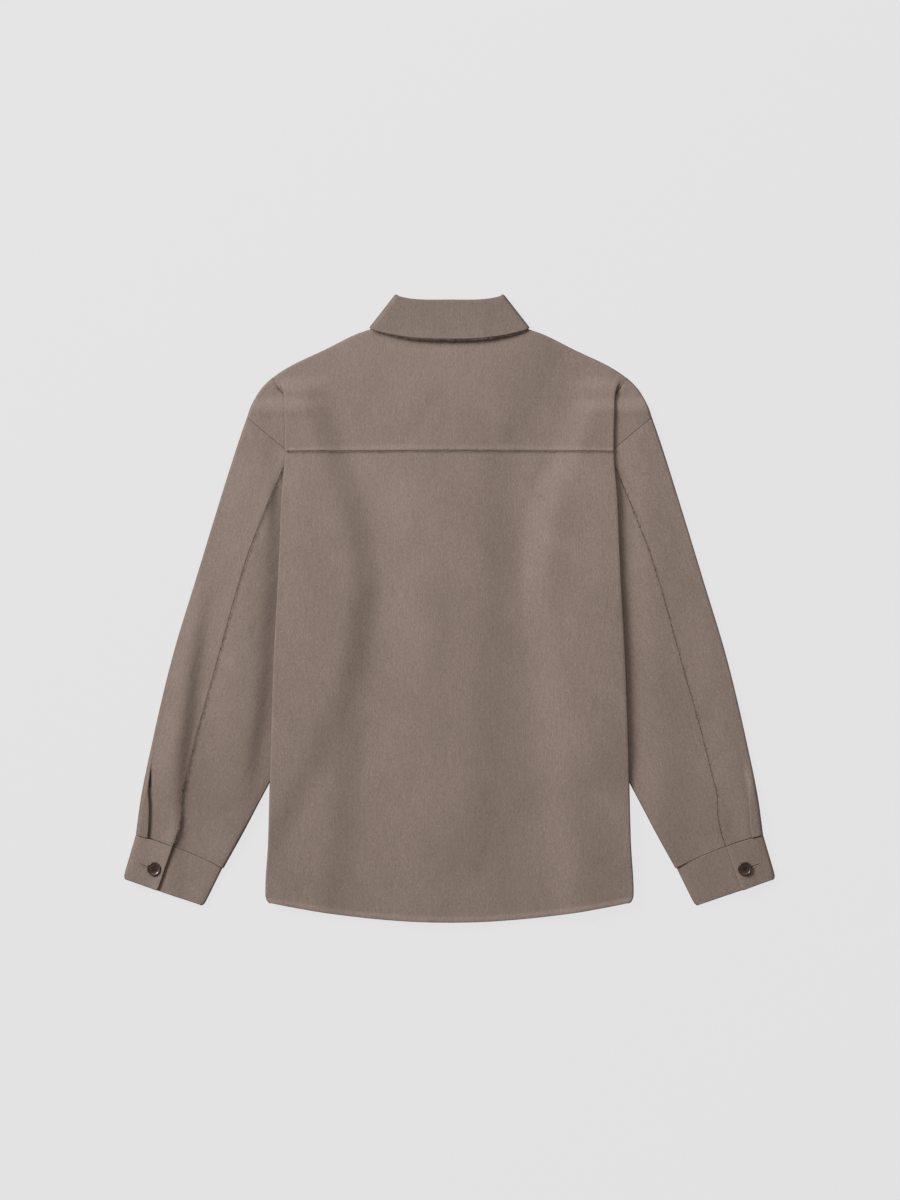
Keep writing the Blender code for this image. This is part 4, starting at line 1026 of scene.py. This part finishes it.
def drape(x, y):
    # How high the folds stand above the flat-laid height, for arrays of points.
    height = np.zeros(len(x))
    for (steps, middles, highs, lean), west, east in foldLines:
        away = (x - np.interp(y, steps, middles)) / lean
        high = np.interp(y, steps, highs, left=highs[0], right=highs[-1])
        height += high * np.exp(-(away / np.where(away < 0, west, east)) ** 2)
    broad, fine = ripple["broad"], ripple["fine"]
    slow = np.sin(x / broad["x"] + wind(broad["windX"], y)) * np.sin(y / broad["y"] + wind(broad["windY"], x))
    quick = np.sin(x / fine["x"] + fine["start"] + wind(fine["windX"], y))
    quick *= np.cos(y / fine["y"] + x / fine["lean"])
    return height + ripple["high"] * (1.0 + broad["share"] * slow + fine["share"] * quick)


# Round a cut edge, in thicknesses: along the normal and out past the edge
rim = ((0.5, -0.5), (0.42, -0.2), (0.22, -0.04), (0.0, 0.0), (-0.22, -0.04), (-0.42, -0.2), (-0.5, -0.5))
leastSlant = 0.4  # keeps the wall's corners short where faces meet sharply
lowestZ = 0.02


def meshPiece(prefix, name, corners, faces, edges=()):
    # A new object with its own mesh. Corners are in millimetres.
    mesh = bpy.data.meshes.new(name)
    mesh.from_pydata([[float(value) * mm for value in corner] for corner in corners], list(edges), faces)
    piece = bpy.data.objects.new(prefix + name, mesh)
    bpy.context.scene.collection.objects.link(piece)
    return piece


def faceOutwards(mesh):
    work = bmesh.new()
    work.from_mesh(mesh)
    bmesh.ops.recalc_face_normals(work, faces=work.faces)
    work.to_mesh(mesh)
    work.free()


def shell(name, grids, thickness):
    # A thin wall of cloth about a sheet made of grids of points, with its edges rounded over.
    sheet = bmesh.new()
    known = {}

    def vertex(point):
        key = tuple(round(float(value), 2) for value in point)
        if key not in known:
            known[key] = sheet.verts.new([float(value) for value in point])
        return known[key]

    for grid in grids:
        rows = [[vertex(point) for point in row] for row in grid]
        for row, nextRow in zip(rows, rows[1:]):
            for j in range(len(row) - 1):
                ring = []
                for corner in (row[j], nextRow[j], nextRow[j + 1], row[j + 1]):
                    if corner not in ring:
                        ring.append(corner)
                if len(ring) > 2 and sheet.faces.get(ring) is None:
                    sheet.faces.new(ring)
    bmesh.ops.recalc_face_normals(sheet, faces=sheet.faces)
    spots = np.array([spot.co for spot in sheet.verts])
    uppermost = smoothAll((spots[:, 2] - floorLayer) / apart)
    spots[:, 2] += drape(spots[:, 0], spots[:, 1]) * uppermost
    for spot, place in zip(sheet.verts, spots):
        spot.co = place
    sheet.normal_update()
    sheet.verts.index_update()
    outward = {}
    edges = []
    for edge in sheet.edges:
        if edge.is_boundary:
            loop = edge.link_loops[0]
            a, b = loop.vert, loop.link_loop_next.vert
            away = (b.co - a.co).cross(edge.link_faces[0].normal).normalized()
            for end in (a, b):
                outward[end.index] = outward[end.index] + away if end.index in outward else away.copy()
            edges.append((a.index, b.index))
    count = len(sheet.verts)
    corners, rings = [], {}
    for side in (0.5, -0.5):
        for spot in sheet.verts:
            slants = [max(leastSlant, spot.normal.dot(face.normal)) for face in spot.link_faces]
            place = spot.co + spot.normal * (side * thickness * len(slants) / sum(slants))
            if spot.index in outward:
                place -= outward[spot.index].normalized() * (thickness * 0.5)
            place.z = max(place.z, lowestZ)
            corners.append(place)
    sheet.verts.ensure_lookup_table()
    for index, away in outward.items():
        rings[index] = [index]
        spot = sheet.verts[index]
        away = away.normalized()
        for up, out in rim[1:-1]:
            rings[index].append(len(corners))
            corners.append(spot.co + spot.normal * (up * thickness) + away * (out * thickness))
        rings[index].append(count + index)
    faces = []
    for face in sheet.faces:
        ids = [spot.index for spot in face.verts]
        faces.append(ids)
        faces.append([count + k for k in reversed(ids)])
    for a, b in edges:
        for j in range(len(rim) - 1):
            faces.append([rings[a][j], rings[a][j + 1], rings[b][j + 1], rings[b][j]])
    sum(face.calc_area() for face in sheet.faces) * mm * mm
    sheet.free()
    piece = meshPiece("cloth_", name, corners, faces)
    piece.data.validate()
    piece.data.shade_smooth()
    return piece


def valuesOf(mesh, name):
    values = np.zeros(len(mesh.vertices) * 3)
    mesh.vertices.foreach_get(name, values)
    return values.reshape(-1, 3)


def grainMap(piece, turn):
    # Cloth coordinates in metres: u across the grain, v along it.
    mesh = piece.data
    places = valuesOf(mesh, "co")
    corners = np.zeros(len(mesh.loops), int)
    mesh.loops.foreach_get("vertex_index", corners)
    turn = math.radians(turn)
    across = places[:, 0] * math.cos(turn) + places[:, 1] * math.sin(turn)
    down = places[:, 1] * math.cos(turn) - places[:, 0] * math.sin(turn)
    layer = mesh.uv_layers.new(name="grain")
    layer.data.foreach_set("uv", np.column_stack((across, down))[corners].ravel())


def edgeShadeMask(piece):
    # 1 where the surface stands up at a fold or a cut edge, 0 where it lies flat: the mask for painted shade,
    # which darkens upright faces as if they were turned from the light.
    mesh = piece.data
    upright = 1 - np.abs(valuesOf(mesh, "normal")[:, 2])
    layer = mesh.attributes.new("edge", "FLOAT", "POINT")
    layer.data.foreach_set("value", smoothAll(upright / wool["edgeReach"]))


# Wool: a felted double cloth of mixed fibres, brushed along the grain. Each noise has its size
# across and along the grain, detail, roughness and distortion. Each overlay has its strength and
# the two greys that its noise runs between.
wool = {
    "dark": (0.163, 0.124, 0.105), "mid": (0.257, 0.200, 0.172), "light": (0.329, 0.267, 0.236),
    "roughness": 0.93, "specular": 0.15, "sheen": 0.06, "sheenRoughness": 0.55,
    "sheenTint": (0.95, 0.9, 0.85, 1), "nap": 0.5, "napHigh": 0.0006, "evenness": 0.45,
    # edgeReach and edgeDark: painted shade on faces that stand up at folds and cut edges: how upright a face
    # is when it gets all of it, and how much darker it makes it
    "edgeReach": 0.5, "edgeDark": 0.34, "paleFlecks": 0.30, "darkFlecks": 0.38,
    "noises": {
        "fibre": (1100.0, 210.0, 3.0, 0.6, 0.6), "streak": (330.0, 42.0, 3.0, 0.6, 0.4),
        "speckle": (620.0, 480.0, 3.0, 0.65, 0.3), "blotch": (16.0, 9.0, 3.0, 0.55, 0.5),
        "flecks": (240.0, 170.0, 2.0, 0.7, 1.2)},
    "overlays": {"streak": (0.14, 0.25, 0.75), "speckle": (0.22, 0.22, 0.78), "blotch": (0.16, 0.30, 0.70)}}


def fill(tree, made, inputs):
    # Sets a node's inputs: a socket is linked, a value is set on the input itself.
    for label, source in dict(inputs).items():
        if isinstance(source, bpy.types.NodeSocket):
            tree.links.new(source, made.inputs[label])
        else:
            made.inputs[label].default_value = source


def addNode(tree, kind, inputs=(), **settings):
    made = tree.nodes.new(kind)
    for label, value in settings.items():
        setattr(made, label, value)
    fill(tree, made, inputs)
    return made


def newMaterial(name):
    made = bpy.data.materials.new(name)
    made.use_nodes = True
    return made, made.node_tree, made.node_tree.nodes["Principled BSDF"]


def ramp(tree, source, stops):
    made = addNode(tree, "ShaderNodeValToRGB", {"Fac": source})
    elements = made.color_ramp.elements
    while len(elements) < len(stops):
        elements.new(0.5)
    for element, (place, value) in zip(elements, stops):
        element.position = place
        element.color = (value, value, value, 1) if isinstance(value, (int, float)) else (*value, 1)
    return made.outputs["Color"]


def blendColours(tree, mode, share, first, second):
    made = addNode(tree, "ShaderNodeMix", data_type="RGBA", blend_type=mode)
    sources = {0: share, 6: first, 7: second}  # the mix node's factor and its two colours
    fill(tree, made, {k: (*source, 1) if isinstance(source, tuple) else source
                      for k, source in sources.items()})
    return made.outputs[2]


# tint: the piece's brightness, partly its own tone and partly painted shade and light
def woolMaterial(name, tint=1.0, seed=0.0):
    made, tree, shader = newMaterial(name)
    place = addNode(tree, "ShaderNodeUVMap", uv_map="grain")
    noises = {}
    for label, (across, down, detail, roughness, distortion) in wool["noises"].items():
        turned = addNode(tree, "ShaderNodeMapping", {
            "Vector": place.outputs["UV"], "Scale": (across, down, 1.0),
            "Location": (seed + 3.1, seed * 0.7 + 1.7, 0.0)})
        noises[label] = addNode(tree, "ShaderNodeTexNoise", {
            "Vector": turned.outputs["Vector"], "Scale": 1.0, "Detail": detail, "Roughness": roughness,
            "Distortion": distortion}).outputs["Fac"]
    colour = ramp(tree, noises["fibre"], ((0.30, wool["dark"]), (0.52, wool["mid"]), (0.74, wool["light"])))
    colour = blendColours(tree, "MIX", wool["evenness"], colour, wool["mid"])
    for label, (strength, low, high) in wool["overlays"].items():
        grey = ramp(tree, noises[label], ((0.30, low), (0.70, high)))
        colour = blendColours(tree, "OVERLAY", strength, colour, grey)
    pale = ramp(tree, noises["flecks"], ((0.70, 0.0), (0.80, wool["paleFlecks"])))
    colour = blendColours(tree, "MIX", pale, colour, wool["light"])
    deep = ramp(tree, noises["flecks"], ((0.20, wool["darkFlecks"]), (0.29, 0.0)))
    colour = blendColours(tree, "MIX", deep, colour, wool["dark"])
    # Painted shade: faces that stand up at folds and cut edges are darkened by the mask, over the piece's own
    # brightness
    edge = addNode(tree, "ShaderNodeAttribute", attribute_name="edge")
    toneAndEdgeShade = ramp(tree, edge.outputs["Fac"], ((0.0, tint), (1.0, tint * (1 - wool["edgeDark"]))))
    total = addNode(tree, "ShaderNodeMath", {0: noises["fibre"], 1: noises["speckle"]}, operation="ADD")
    bump = addNode(tree, "ShaderNodeBump", {
        "Height": total.outputs[0], "Strength": wool["nap"], "Distance": wool["napHigh"]})
    fill(tree, shader, {
        "Base Color": blendColours(tree, "MULTIPLY", 1.0, colour, toneAndEdgeShade), "Roughness": wool["roughness"],
        "Specular IOR Level": wool["specular"], "Normal": bump.outputs["Normal"],
        "Sheen Weight": wool["sheen"], "Sheen Roughness": wool["sheenRoughness"],
        "Sheen Tint": wool["sheenTint"]})
    return made


# Horn: turned from a dark plate with paler swirls
horn = {"dark": (0.018, 0.011, 0.008), "mid": (0.062, 0.036, 0.024), "light": (0.16, 0.10, 0.07),
        "roughness": 0.34, "coat": 0.35, "coatRoughness": 0.2, "grain": 0.15, "grainHigh": 0.0002}


def hornMaterial(name):
    made, tree, shader = newMaterial(name)
    place = addNode(tree, "ShaderNodeTexCoord").outputs["Object"]
    swirl = addNode(tree, "ShaderNodeTexNoise", {
        "Vector": place, "Scale": 150.0, "Detail": 4.0, "Roughness": 0.6, "Distortion": 1.8})
    grain = addNode(tree, "ShaderNodeTexNoise", {"Vector": place, "Scale": 900.0, "Detail": 2.0})
    bump = addNode(tree, "ShaderNodeBump", {
        "Height": grain.outputs["Fac"], "Strength": horn["grain"], "Distance": horn["grainHigh"]})
    colours = ((0.34, horn["dark"]), (0.55, horn["mid"]), (0.78, horn["light"]))
    fill(tree, shader, {
        "Base Color": ramp(tree, swirl.outputs["Fac"], colours), "Roughness": horn["roughness"],
        "Coat Weight": horn["coat"], "Coat Roughness": horn["coatRoughness"],
        "Normal": bump.outputs["Normal"]})
    return made


# A button's section: its dished middle, then the rim as distances out and depths below the top,
# then the underside as distances out and heights
buttonMake = {
    "dish": 0.9, "dishRadius": 5.4, "dishSteps": 14, "round": 64,
    "rim": ((6.1, 0.765), (6.7, 0.36), (7.2, 0.08), (7.8, 0.0), (8.3, 0.1), (8.7, 0.5), (8.95, 1.1),
            (9.0, 1.7)),
    "under": ((8.8, 0.6), (8.2, 0.12), (7.2, 0.0), (0.0, 0.0)),
    "holeRadius": 1.0, "holeOut": 2.1, "holeTurn": 0.2,  # size, distance out, turn of the four
    "holeFloor": 0.3, "holeStart": 0.35, "holeSlope": 0.45}  # what is left below, the wall's slope


def buttonSink(x, y):
    # How far the four holes sink the button's middle at a place.
    depth = buttonThick - buttonMake["dish"] - buttonMake["holeFloor"]
    out, sink = buttonMake["holeOut"], 0.0
    for k in range(4):
        turn = math.pi / 4 + k * math.pi / 2 + buttonMake["holeTurn"]
        away = math.hypot(x - out * math.cos(turn), y - out * math.sin(turn))
        past = away - buttonMake["holeRadius"] + buttonMake["holeStart"]
        sink += depth * (1 - smooth(past / buttonMake["holeSlope"]))
    return sink


def button(name, centre, base, facesDown, material):
    # Turned on a lathe: raised rim, dished middle, four holes sunk through it.
    steps, count = buttonMake["dishSteps"], buttonMake["round"]
    top = [(buttonMake["dishRadius"] * k / steps, buttonThick - buttonMake["dish"]) for k in range(steps + 1)]
    top += [(reach, buttonThick - depth) for reach, depth in buttonMake["rim"]]
    corners, rings = [], []
    for k, (reach, height) in enumerate(top + list(buttonMake["under"])):
        ring = []
        for j in range(count if reach else 1):
            angle = 2 * math.pi * j / count
            x, y, z = reach * math.cos(angle), reach * math.sin(angle), height
            if k < len(top):
                z -= buttonSink(x, y)
            if facesDown:
                z, y = buttonThick - z, -y
            ring.append(len(corners))
            corners.append((centre[0] + x, centre[1] + y, base + z))
        rings.append(ring)
    faces = []
    for lower, higher in zip(rings, rings[1:]):
        for j in range(count):
            n = (j + 1) % count
            if len(lower) == 1:
                faces.append([lower[0], higher[j], higher[n]])
            elif len(higher) == 1:
                faces.append([lower[n], lower[j], higher[0]])
            else:
                faces.append([lower[j], higher[j], higher[n], lower[n]])
    piece = meshPiece("horn_", name, corners, faces)
    faceOutwards(piece.data)
    piece.data.shade_smooth()
    piece.data.set_sharp_from_angle(angle=math.radians(40))
    piece.data.materials.append(material)
    return piece


# Strands set along a line: buttonhole stitches, and the loose fibres that stand out at edges
strands = {
    "stitch": {"Spacing": 0.00078, "Length": 0.0016, "Thickness": 0.00030, "Lean": 0.12,
               "Uneven": 0.15, "Seed": 3},
    "fuzz": {"Spacing": 0.00042, "Length": 0.0022, "Thickness": 0.00014, "Lean": 0.9,
             "Uneven": 0.6, "Seed": 8}}
strandSides = 5
strandTip = 0.5  # its thickness at the tip, as a share
# Which way the fibres point, and the share of the cloth's thickness they start above its middle
fuzzWays = {
    "collar_leaf": ((0.0, -1.0, -0.5), 0.0), "back_yoke": ((0.0, -0.8, 0.5), 0.3),
    "sleeve_left": ((0.7, 0.0, 0.6), 0.4), "sleeve_right": ((-0.6, 0.0, 0.5), 0.4)}
# The dark thread colours paint the buttonhole slits: painted shade for the shadow in the cut
thread = {
    "pale": ((0.30, 0.24, 0.20), (0.50, 0.43, 0.37)), "dark": ((0.030, 0.021, 0.016), (0.060, 0.043, 0.034)),
    "roughness": 0.8, "specular": 0.2, "grain": 700.0}


def strandTree():
    # Tapered strands along a line, each pointing the way that the line's own points say.
    tree = bpy.data.node_groups.new("strands", "GeometryNodeTree")
    sizes = [(label, "Float") for label in ("Spacing", "Length", "Thickness", "Lean", "Uneven")]
    for label, kind in [("Line", "Geometry")] + sizes + [("Seed", "Int"), ("Material", "Material")]:
        tree.interface.new_socket(label, in_out="INPUT", socket_type="NodeSocket" + kind)
    tree.interface.new_socket("Strands", in_out="OUTPUT", socket_type="NodeSocketGeometry")

    def add(kind, inputs=(), **settings):
        return addNode(tree, kind, inputs, **settings)

    given = add("NodeGroupInput").outputs
    line = add("GeometryNodeMeshToCurve", {"Mesh": given["Line"]})
    even = add("GeometryNodeResampleCurve", {"Curve": line.outputs[0], "Length": given["Spacing"]},
               mode="LENGTH")
    way = add("GeometryNodeInputNamedAttribute", {"Name": "way"}, data_type="FLOAT_VECTOR")
    stray = add("FunctionNodeRandomValue", {0: (-1.0, -1.0, -1.0), 1: (1.0, 1.0, 1.0), "Seed": given["Seed"]},
                data_type="FLOAT_VECTOR")
    lean = add("ShaderNodeVectorMath", {0: stray.outputs[0], "Scale": given["Lean"]}, operation="SCALE")
    points = add("ShaderNodeVectorMath", {0: way.outputs["Attribute"], 1: lean.outputs[0]}, operation="ADD")
    turned = add("FunctionNodeAlignRotationToVector", {"Vector": points.outputs[0]}, axis="Z")
    least = add("ShaderNodeMath", {0: 1.0, 1: given["Uneven"]}, operation="SUBTRACT")
    most = add("ShaderNodeMath", {0: 1.0, 1: given["Uneven"]}, operation="ADD")
    size = add("FunctionNodeRandomValue", {2: least.outputs[0], 3: most.outputs[0], "Seed": given["Seed"]},
               data_type="FLOAT")
    tip = add("ShaderNodeMath", {0: given["Thickness"], 1: strandTip}, operation="MULTIPLY")
    cone = add("GeometryNodeMeshCone", {
        "Vertices": strandSides, "Radius Top": tip.outputs[0], "Radius Bottom": given["Thickness"],
        "Depth": given["Length"]})
    placed = add("GeometryNodeInstanceOnPoints", {
        "Points": even.outputs[0], "Instance": cone.outputs["Mesh"], "Rotation": turned.outputs[0],
        "Scale": size.outputs[1]})
    real = add("GeometryNodeRealizeInstances", {"Geometry": placed.outputs[0]})
    painted = add("GeometryNodeSetMaterial", {"Geometry": real.outputs[0], "Material": given["Material"]})
    add("NodeGroupOutput", {"Strands": painted.outputs[0]})
    return tree


def strandPiece(name, tree, kind, points, ways, material):
    # One line of strands, turned into a plain mesh. Points are in millimetres.
    piece = meshPiece("", name, points, [], [(k, k + 1) for k in range(len(points) - 1)])
    layer = piece.data.attributes.new("way", "FLOAT_VECTOR", "POINT")
    layer.data.foreach_set("vector", np.asarray(ways, float).ravel())
    maker = piece.modifiers.new("strands", "NODES")
    maker.node_group = tree
    wanted = dict(strands[kind], Material=material)
    for item in tree.interface.items_tree:
        if item.in_out == "INPUT" and item.name in wanted:
            maker[item.identifier] = wanted[item.name]
    made = bpy.data.meshes.new_from_object(piece.evaluated_get(bpy.context.evaluated_depsgraph_get()))
    piece.modifiers.clear()
    piece.data = made
    made.name = name
    print(name, "made:", len(made.polygons), "faces")
    return piece


def threadMaterial(name, colours):
    made, tree, shader = newMaterial(name)
    place = addNode(tree, "ShaderNodeTexCoord").outputs["Object"]
    grain = addNode(tree, "ShaderNodeTexNoise", {"Vector": place, "Scale": thread["grain"], "Detail": 2.0})
    fill(tree, shader, {
        "Base Color": ramp(tree, grain.outputs["Fac"], ((0.35, colours[0]), (0.65, colours[1]))),
        "Roughness": thread["roughness"], "Specular IOR Level": thread["specular"]})
    return made


cuffTopZ = cuffHigh + cuffLayer + doubleThick / 2
buttonShift = np.array((-1.2, 1.6))  # where the photo shows the cuff buttons, beside the solids' place
# The stitches: from the button's middle to their ends, beside the slit, above the cloth, and how
# steeply they stand. The slit: past the last stitch, half as wide, high, above the cloth.
buttonhole = {"start": 2.5, "end": 20.5, "half": 0.75, "above": 0.1, "steep": 0.12, "tip": 0.9,
              "slitEnd": 0.3, "slitHalf": 0.45, "slitHigh": 0.35, "slitAbove": 0.02}
# Across the slit: share of its half width, and share of its height
slitSection = ((-1.0, 0.0), (-0.6, 0.7), (0.0, 1.0), (0.6, 0.7), (1.0, 0.0), (0.0, -0.6))


def onCuff(spot, above=0.0):
    # The height of the cuff's overlap at a place, with the folds.
    return cuffTopZ + above + float(drape(np.array([spot[0]]), np.array([spot[1]]))[0])


def buttonPlace(side):
    return np.array((side * cuffButton[0], cuffButton[1])) + np.array((side, 1.0)) * buttonShift


def buttonholeLines(side):
    # Round the slit: one side, its far end, and back along the other. Then the slit's own middle.
    centre = buttonPlace(side)
    way = unit((side * (cuffBottomOut[0] - cuffBottomIn[0]), cuffBottomOut[1] - cuffBottomIn[1]))
    across = np.array((-way[1], way[0]))
    start, end = buttonhole["start"], buttonhole["end"]
    stretch = np.linspace(start, end, 12)
    stitches = [(centre + way * reach + across * buttonhole["half"], across) for reach in stretch]
    stitches.append((centre + way * (end + buttonhole["tip"]), way))
    stitches += [(centre + way * reach - across * buttonhole["half"], -across) for reach in stretch[::-1]]
    points = [(*spot, onCuff(spot, buttonhole["above"])) for spot, out in stitches]
    ways = [(*out, buttonhole["steep"]) for spot, out in stitches]
    middle = [centre + way * reach for reach in np.linspace(start, end + buttonhole["slitEnd"], 14)]
    return points, ways, middle, across


def slit(name, middle, across, material):
    # The slit: a low ridge that narrows to both ends, coloured dark as painted shade for the shadow inside
    # the cut.
    corners, faces = [], []
    last, count = len(middle) - 1, len(slitSection)
    for k, spot in enumerate(middle):
        half = buttonhole["slitHalf"] * math.sqrt(max(0.02, math.sin(math.pi * (k + 0.3) / (last + 0.6))))
        for share, up in slitSection:
            place = spot + across * half * share
            corners.append((*place, onCuff(place, buttonhole["slitAbove"]) + buttonhole["slitHigh"] * up))
    for k in range(last):
        for j in range(count):
            n = (j + 1) % count
            faces.append([count * k + j, count * k + n, count * (k + 1) + n, count * (k + 1) + j])
    faces += [list(range(count - 1, -1, -1)), [count * last + j for j in range(count)]]
    piece = meshPiece("", name, corners, faces)
    faceOutwards(piece.data)
    piece.data.materials.append(material)
    return piece


seamEnds = (6, -4)  # points left out at the ends of a sleeve's seam, where it is sewn in


def makeStrands():
    # Extra pieces by the cloth that carries them.
    tree = strandTree()
    pale = threadMaterial("thread_pale", thread["pale"])
    # Painted shade for the buttonhole slits
    dark = threadMaterial("slit_painted_shade", thread["dark"])
    fibre = threadMaterial("wool_fibre", (wool["mid"], wool["light"]))
    extra = {}
    for name, (way, above) in fuzzWays.items():
        points = np.array(edgeLines[name])
        points[:, 2] += drape(points[:, 0], points[:, 1]) + above * clothThick
        if name.startswith("sleeve"):
            points = points[seamEnds[0]:seamEnds[1]]
        extra[name] = [strandPiece("fuzz_" + name, tree, "fuzz", points, [way] * len(points), fibre)]
    for word, side in (("left", -1), ("right", 1)):
        points, ways, middle, across = buttonholeLines(side)
        extra["cuff_" + word] = [
            strandPiece("buttonhole_" + word, tree, "stitch", points, ways, pale),
            slit("slit_" + word, middle, across, dark)]
    for pieces in extra.values():
        for piece in pieces:
            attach(piece, "root")
    return extra


# What each piece is cut as: width and length in metres, how it is held and on what. Then the turn of its
# grain in degrees, and its tone: a brightness for its copy of the wool, partly a tone of its own and partly
# painted shade and light, darker for the collar, yoke, left sleeve and left cuff and lighter for the right
# sleeve.
cuts = {
    "back_panel": {"flat": (0.57, 0.62), "held": "laid", "turn": 0.0, "tint": 1.0, "restsOn": [
        "cloth_sleeve_left", "cloth_sleeve_right", "cloth_front_left", "cloth_front_right"]},
    "back_yoke": {"flat": (0.60, 0.21), "held": "laid", "turn": 0.0, "tint": 0.97, "restsOn": [
        "cloth_front_left", "cloth_front_right"]},
    "front_left": {"flat": (0.34, 0.70), "held": "laid", "turn": 0.0, "tint": 1.0, "restsOn": ["floor"]},
    "front_right": {"flat": (0.34, 0.70), "held": "laid", "turn": 0.0, "tint": 1.0, "restsOn": ["floor"]},
    "sleeve_left": {"flat": (0.40, 0.60), "held": "folded", "turn": -16.0, "tint": 0.915, "restsOn": [
        "floor"]},
    "sleeve_right": {"flat": (0.40, 0.60), "held": "folded", "turn": 16.0, "tint": 1.04, "restsOn": [
        "floor"]},
    "cuff_left": {"flat": (0.26, 0.062), "held": "folded", "turn": -18.0, "tint": 0.97, "restsOn": ["floor"]},
    "cuff_right": {"flat": (0.26, 0.062), "held": "folded", "turn": 18.0, "tint": 1.0, "restsOn": ["floor"]},
    "collar_leaf": {"flat": (0.48, 0.075), "held": "folded", "turn": 0.0, "tint": 0.84, "restsOn": [
        "cloth_back_yoke"]},
    "collar_stand": {"flat": (0.45, 0.04), "held": "folded", "turn": 0.0, "tint": 1.0, "restsOn": [
        "cloth_back_yoke"]}}
seedStep = 1.7  # sets the pieces' patterns apart


def makeCloth():
    made = [backPanel(), backYoke(), frontPanel("front_left", True), frontPanel("front_right", False)]
    for word, side in (("left", -1), ("right", 1)):
        made += [sleeve("sleeve_" + word, side), cuff("cuff_" + word, side)]
    made += [collarLeaf(), collarStand()]
    extra = makeStrands()
    for k, piece in enumerate(made):
        name = piece.name.replace("cloth_", "")
        cut = cuts[name]
        grainMap(piece, cut["turn"])
        # Mask for the painted shade at folds and cut edges
        edgeShadeMask(piece)
        piece.data.materials.append(woolMaterial("wool_" + name, cut["tint"], seedStep * k))
        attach(piece, "root")
        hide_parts(name)


def makeButtons():
    material = hornMaterial("horn")
    made = []
    for word, side in (("left", -1), ("right", 1)):
        place = buttonPlace(side)
        made.append(("cuff_button_" + word, place, onCuff(place, gap), False))
    for k, y in enumerate(frontButtonY):
        made.append(("front_button_%d" % (k + 1), (0.0, y), 0.0, True))
    for name, place, base, facesDown in made:
        piece = button(name, place, base, facesDown, material)
        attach(piece, "root")
        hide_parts(name)
    print("buttons made:", len(made))


# The floor glows evenly, as paper lit from all sides does: its colour, its glow, half its side in
# millimetres and its height. Then the sky.
stageMake = {"floor": 0.03, "glow": 0.739, "half": 4000.0, "z": -0.4, "roughness": 0.9, "specular": 0.1,
             "sky": 0.232, "skyColour": (1.0, 0.90, 0.81, 1)}
lamps = {
    "key": {"power": 272.0, "size": 1.8, "place": (-3.3, 2.4, 2.9)},
    "top": {"power": 12.2, "size": 1.2, "place": (0.1, 2.0, 1.3)}}
# The middle of the frame, its long side and the camera's distance
view = {"centre": (0.65, 11.25), "long": 1560.0, "high": 4000.0}


def makeStage():
    scene = bpy.context.scene
    half, z = stageMake["half"], stageMake["z"]
    floor = meshPiece("", "floor", [(-half, -half, z), (half, -half, z), (half, half, z), (-half, half, z)],
                      [(0, 1, 2, 3)])
    material, tree, shader = newMaterial("floor_paper")
    fill(tree, shader, {
        "Base Color": (stageMake["floor"],) * 3 + (1,), "Roughness": stageMake["roughness"],
        "Specular IOR Level": stageMake["specular"], "Emission Color": (1, 1, 1, 1),
        "Emission Strength": stageMake["glow"]})
    floor.data.materials.append(material)
    for name, made in lamps.items():
        light = bpy.data.lights.new(name, "AREA")
        light.energy = made["power"]
        light.size = made["size"]
        lamp = bpy.data.objects.new(name, light)
        lamp.location = made["place"]
        lamp.rotation_mode = "QUATERNION"
        lamp.rotation_quaternion = lamp.location.to_track_quat("Z", "Y")
        scene.collection.objects.link(lamp)
    world = bpy.data.worlds.new("studio")
    scene.world = world
    world.use_nodes = True
    fill(world.node_tree, world.node_tree.nodes["Background"], {
        "Color": stageMake["skyColour"], "Strength": stageMake["sky"]})
    camera = bpy.data.cameras.new("camera")
    camera.lens = camera.sensor_width * view["high"] / view["long"]
    camera.clip_end = 50.0
    eye = bpy.data.objects.new("camera", camera)
    eye.location = (view["centre"][0] * mm, view["centre"][1] * mm, view["high"] * mm)
    scene.collection.objects.link(eye)
    scene.camera = eye
    scene.view_settings.view_transform = "Standard"
    print("stage, light and camera made")


makeStage()
makeCloth()
makeButtons()
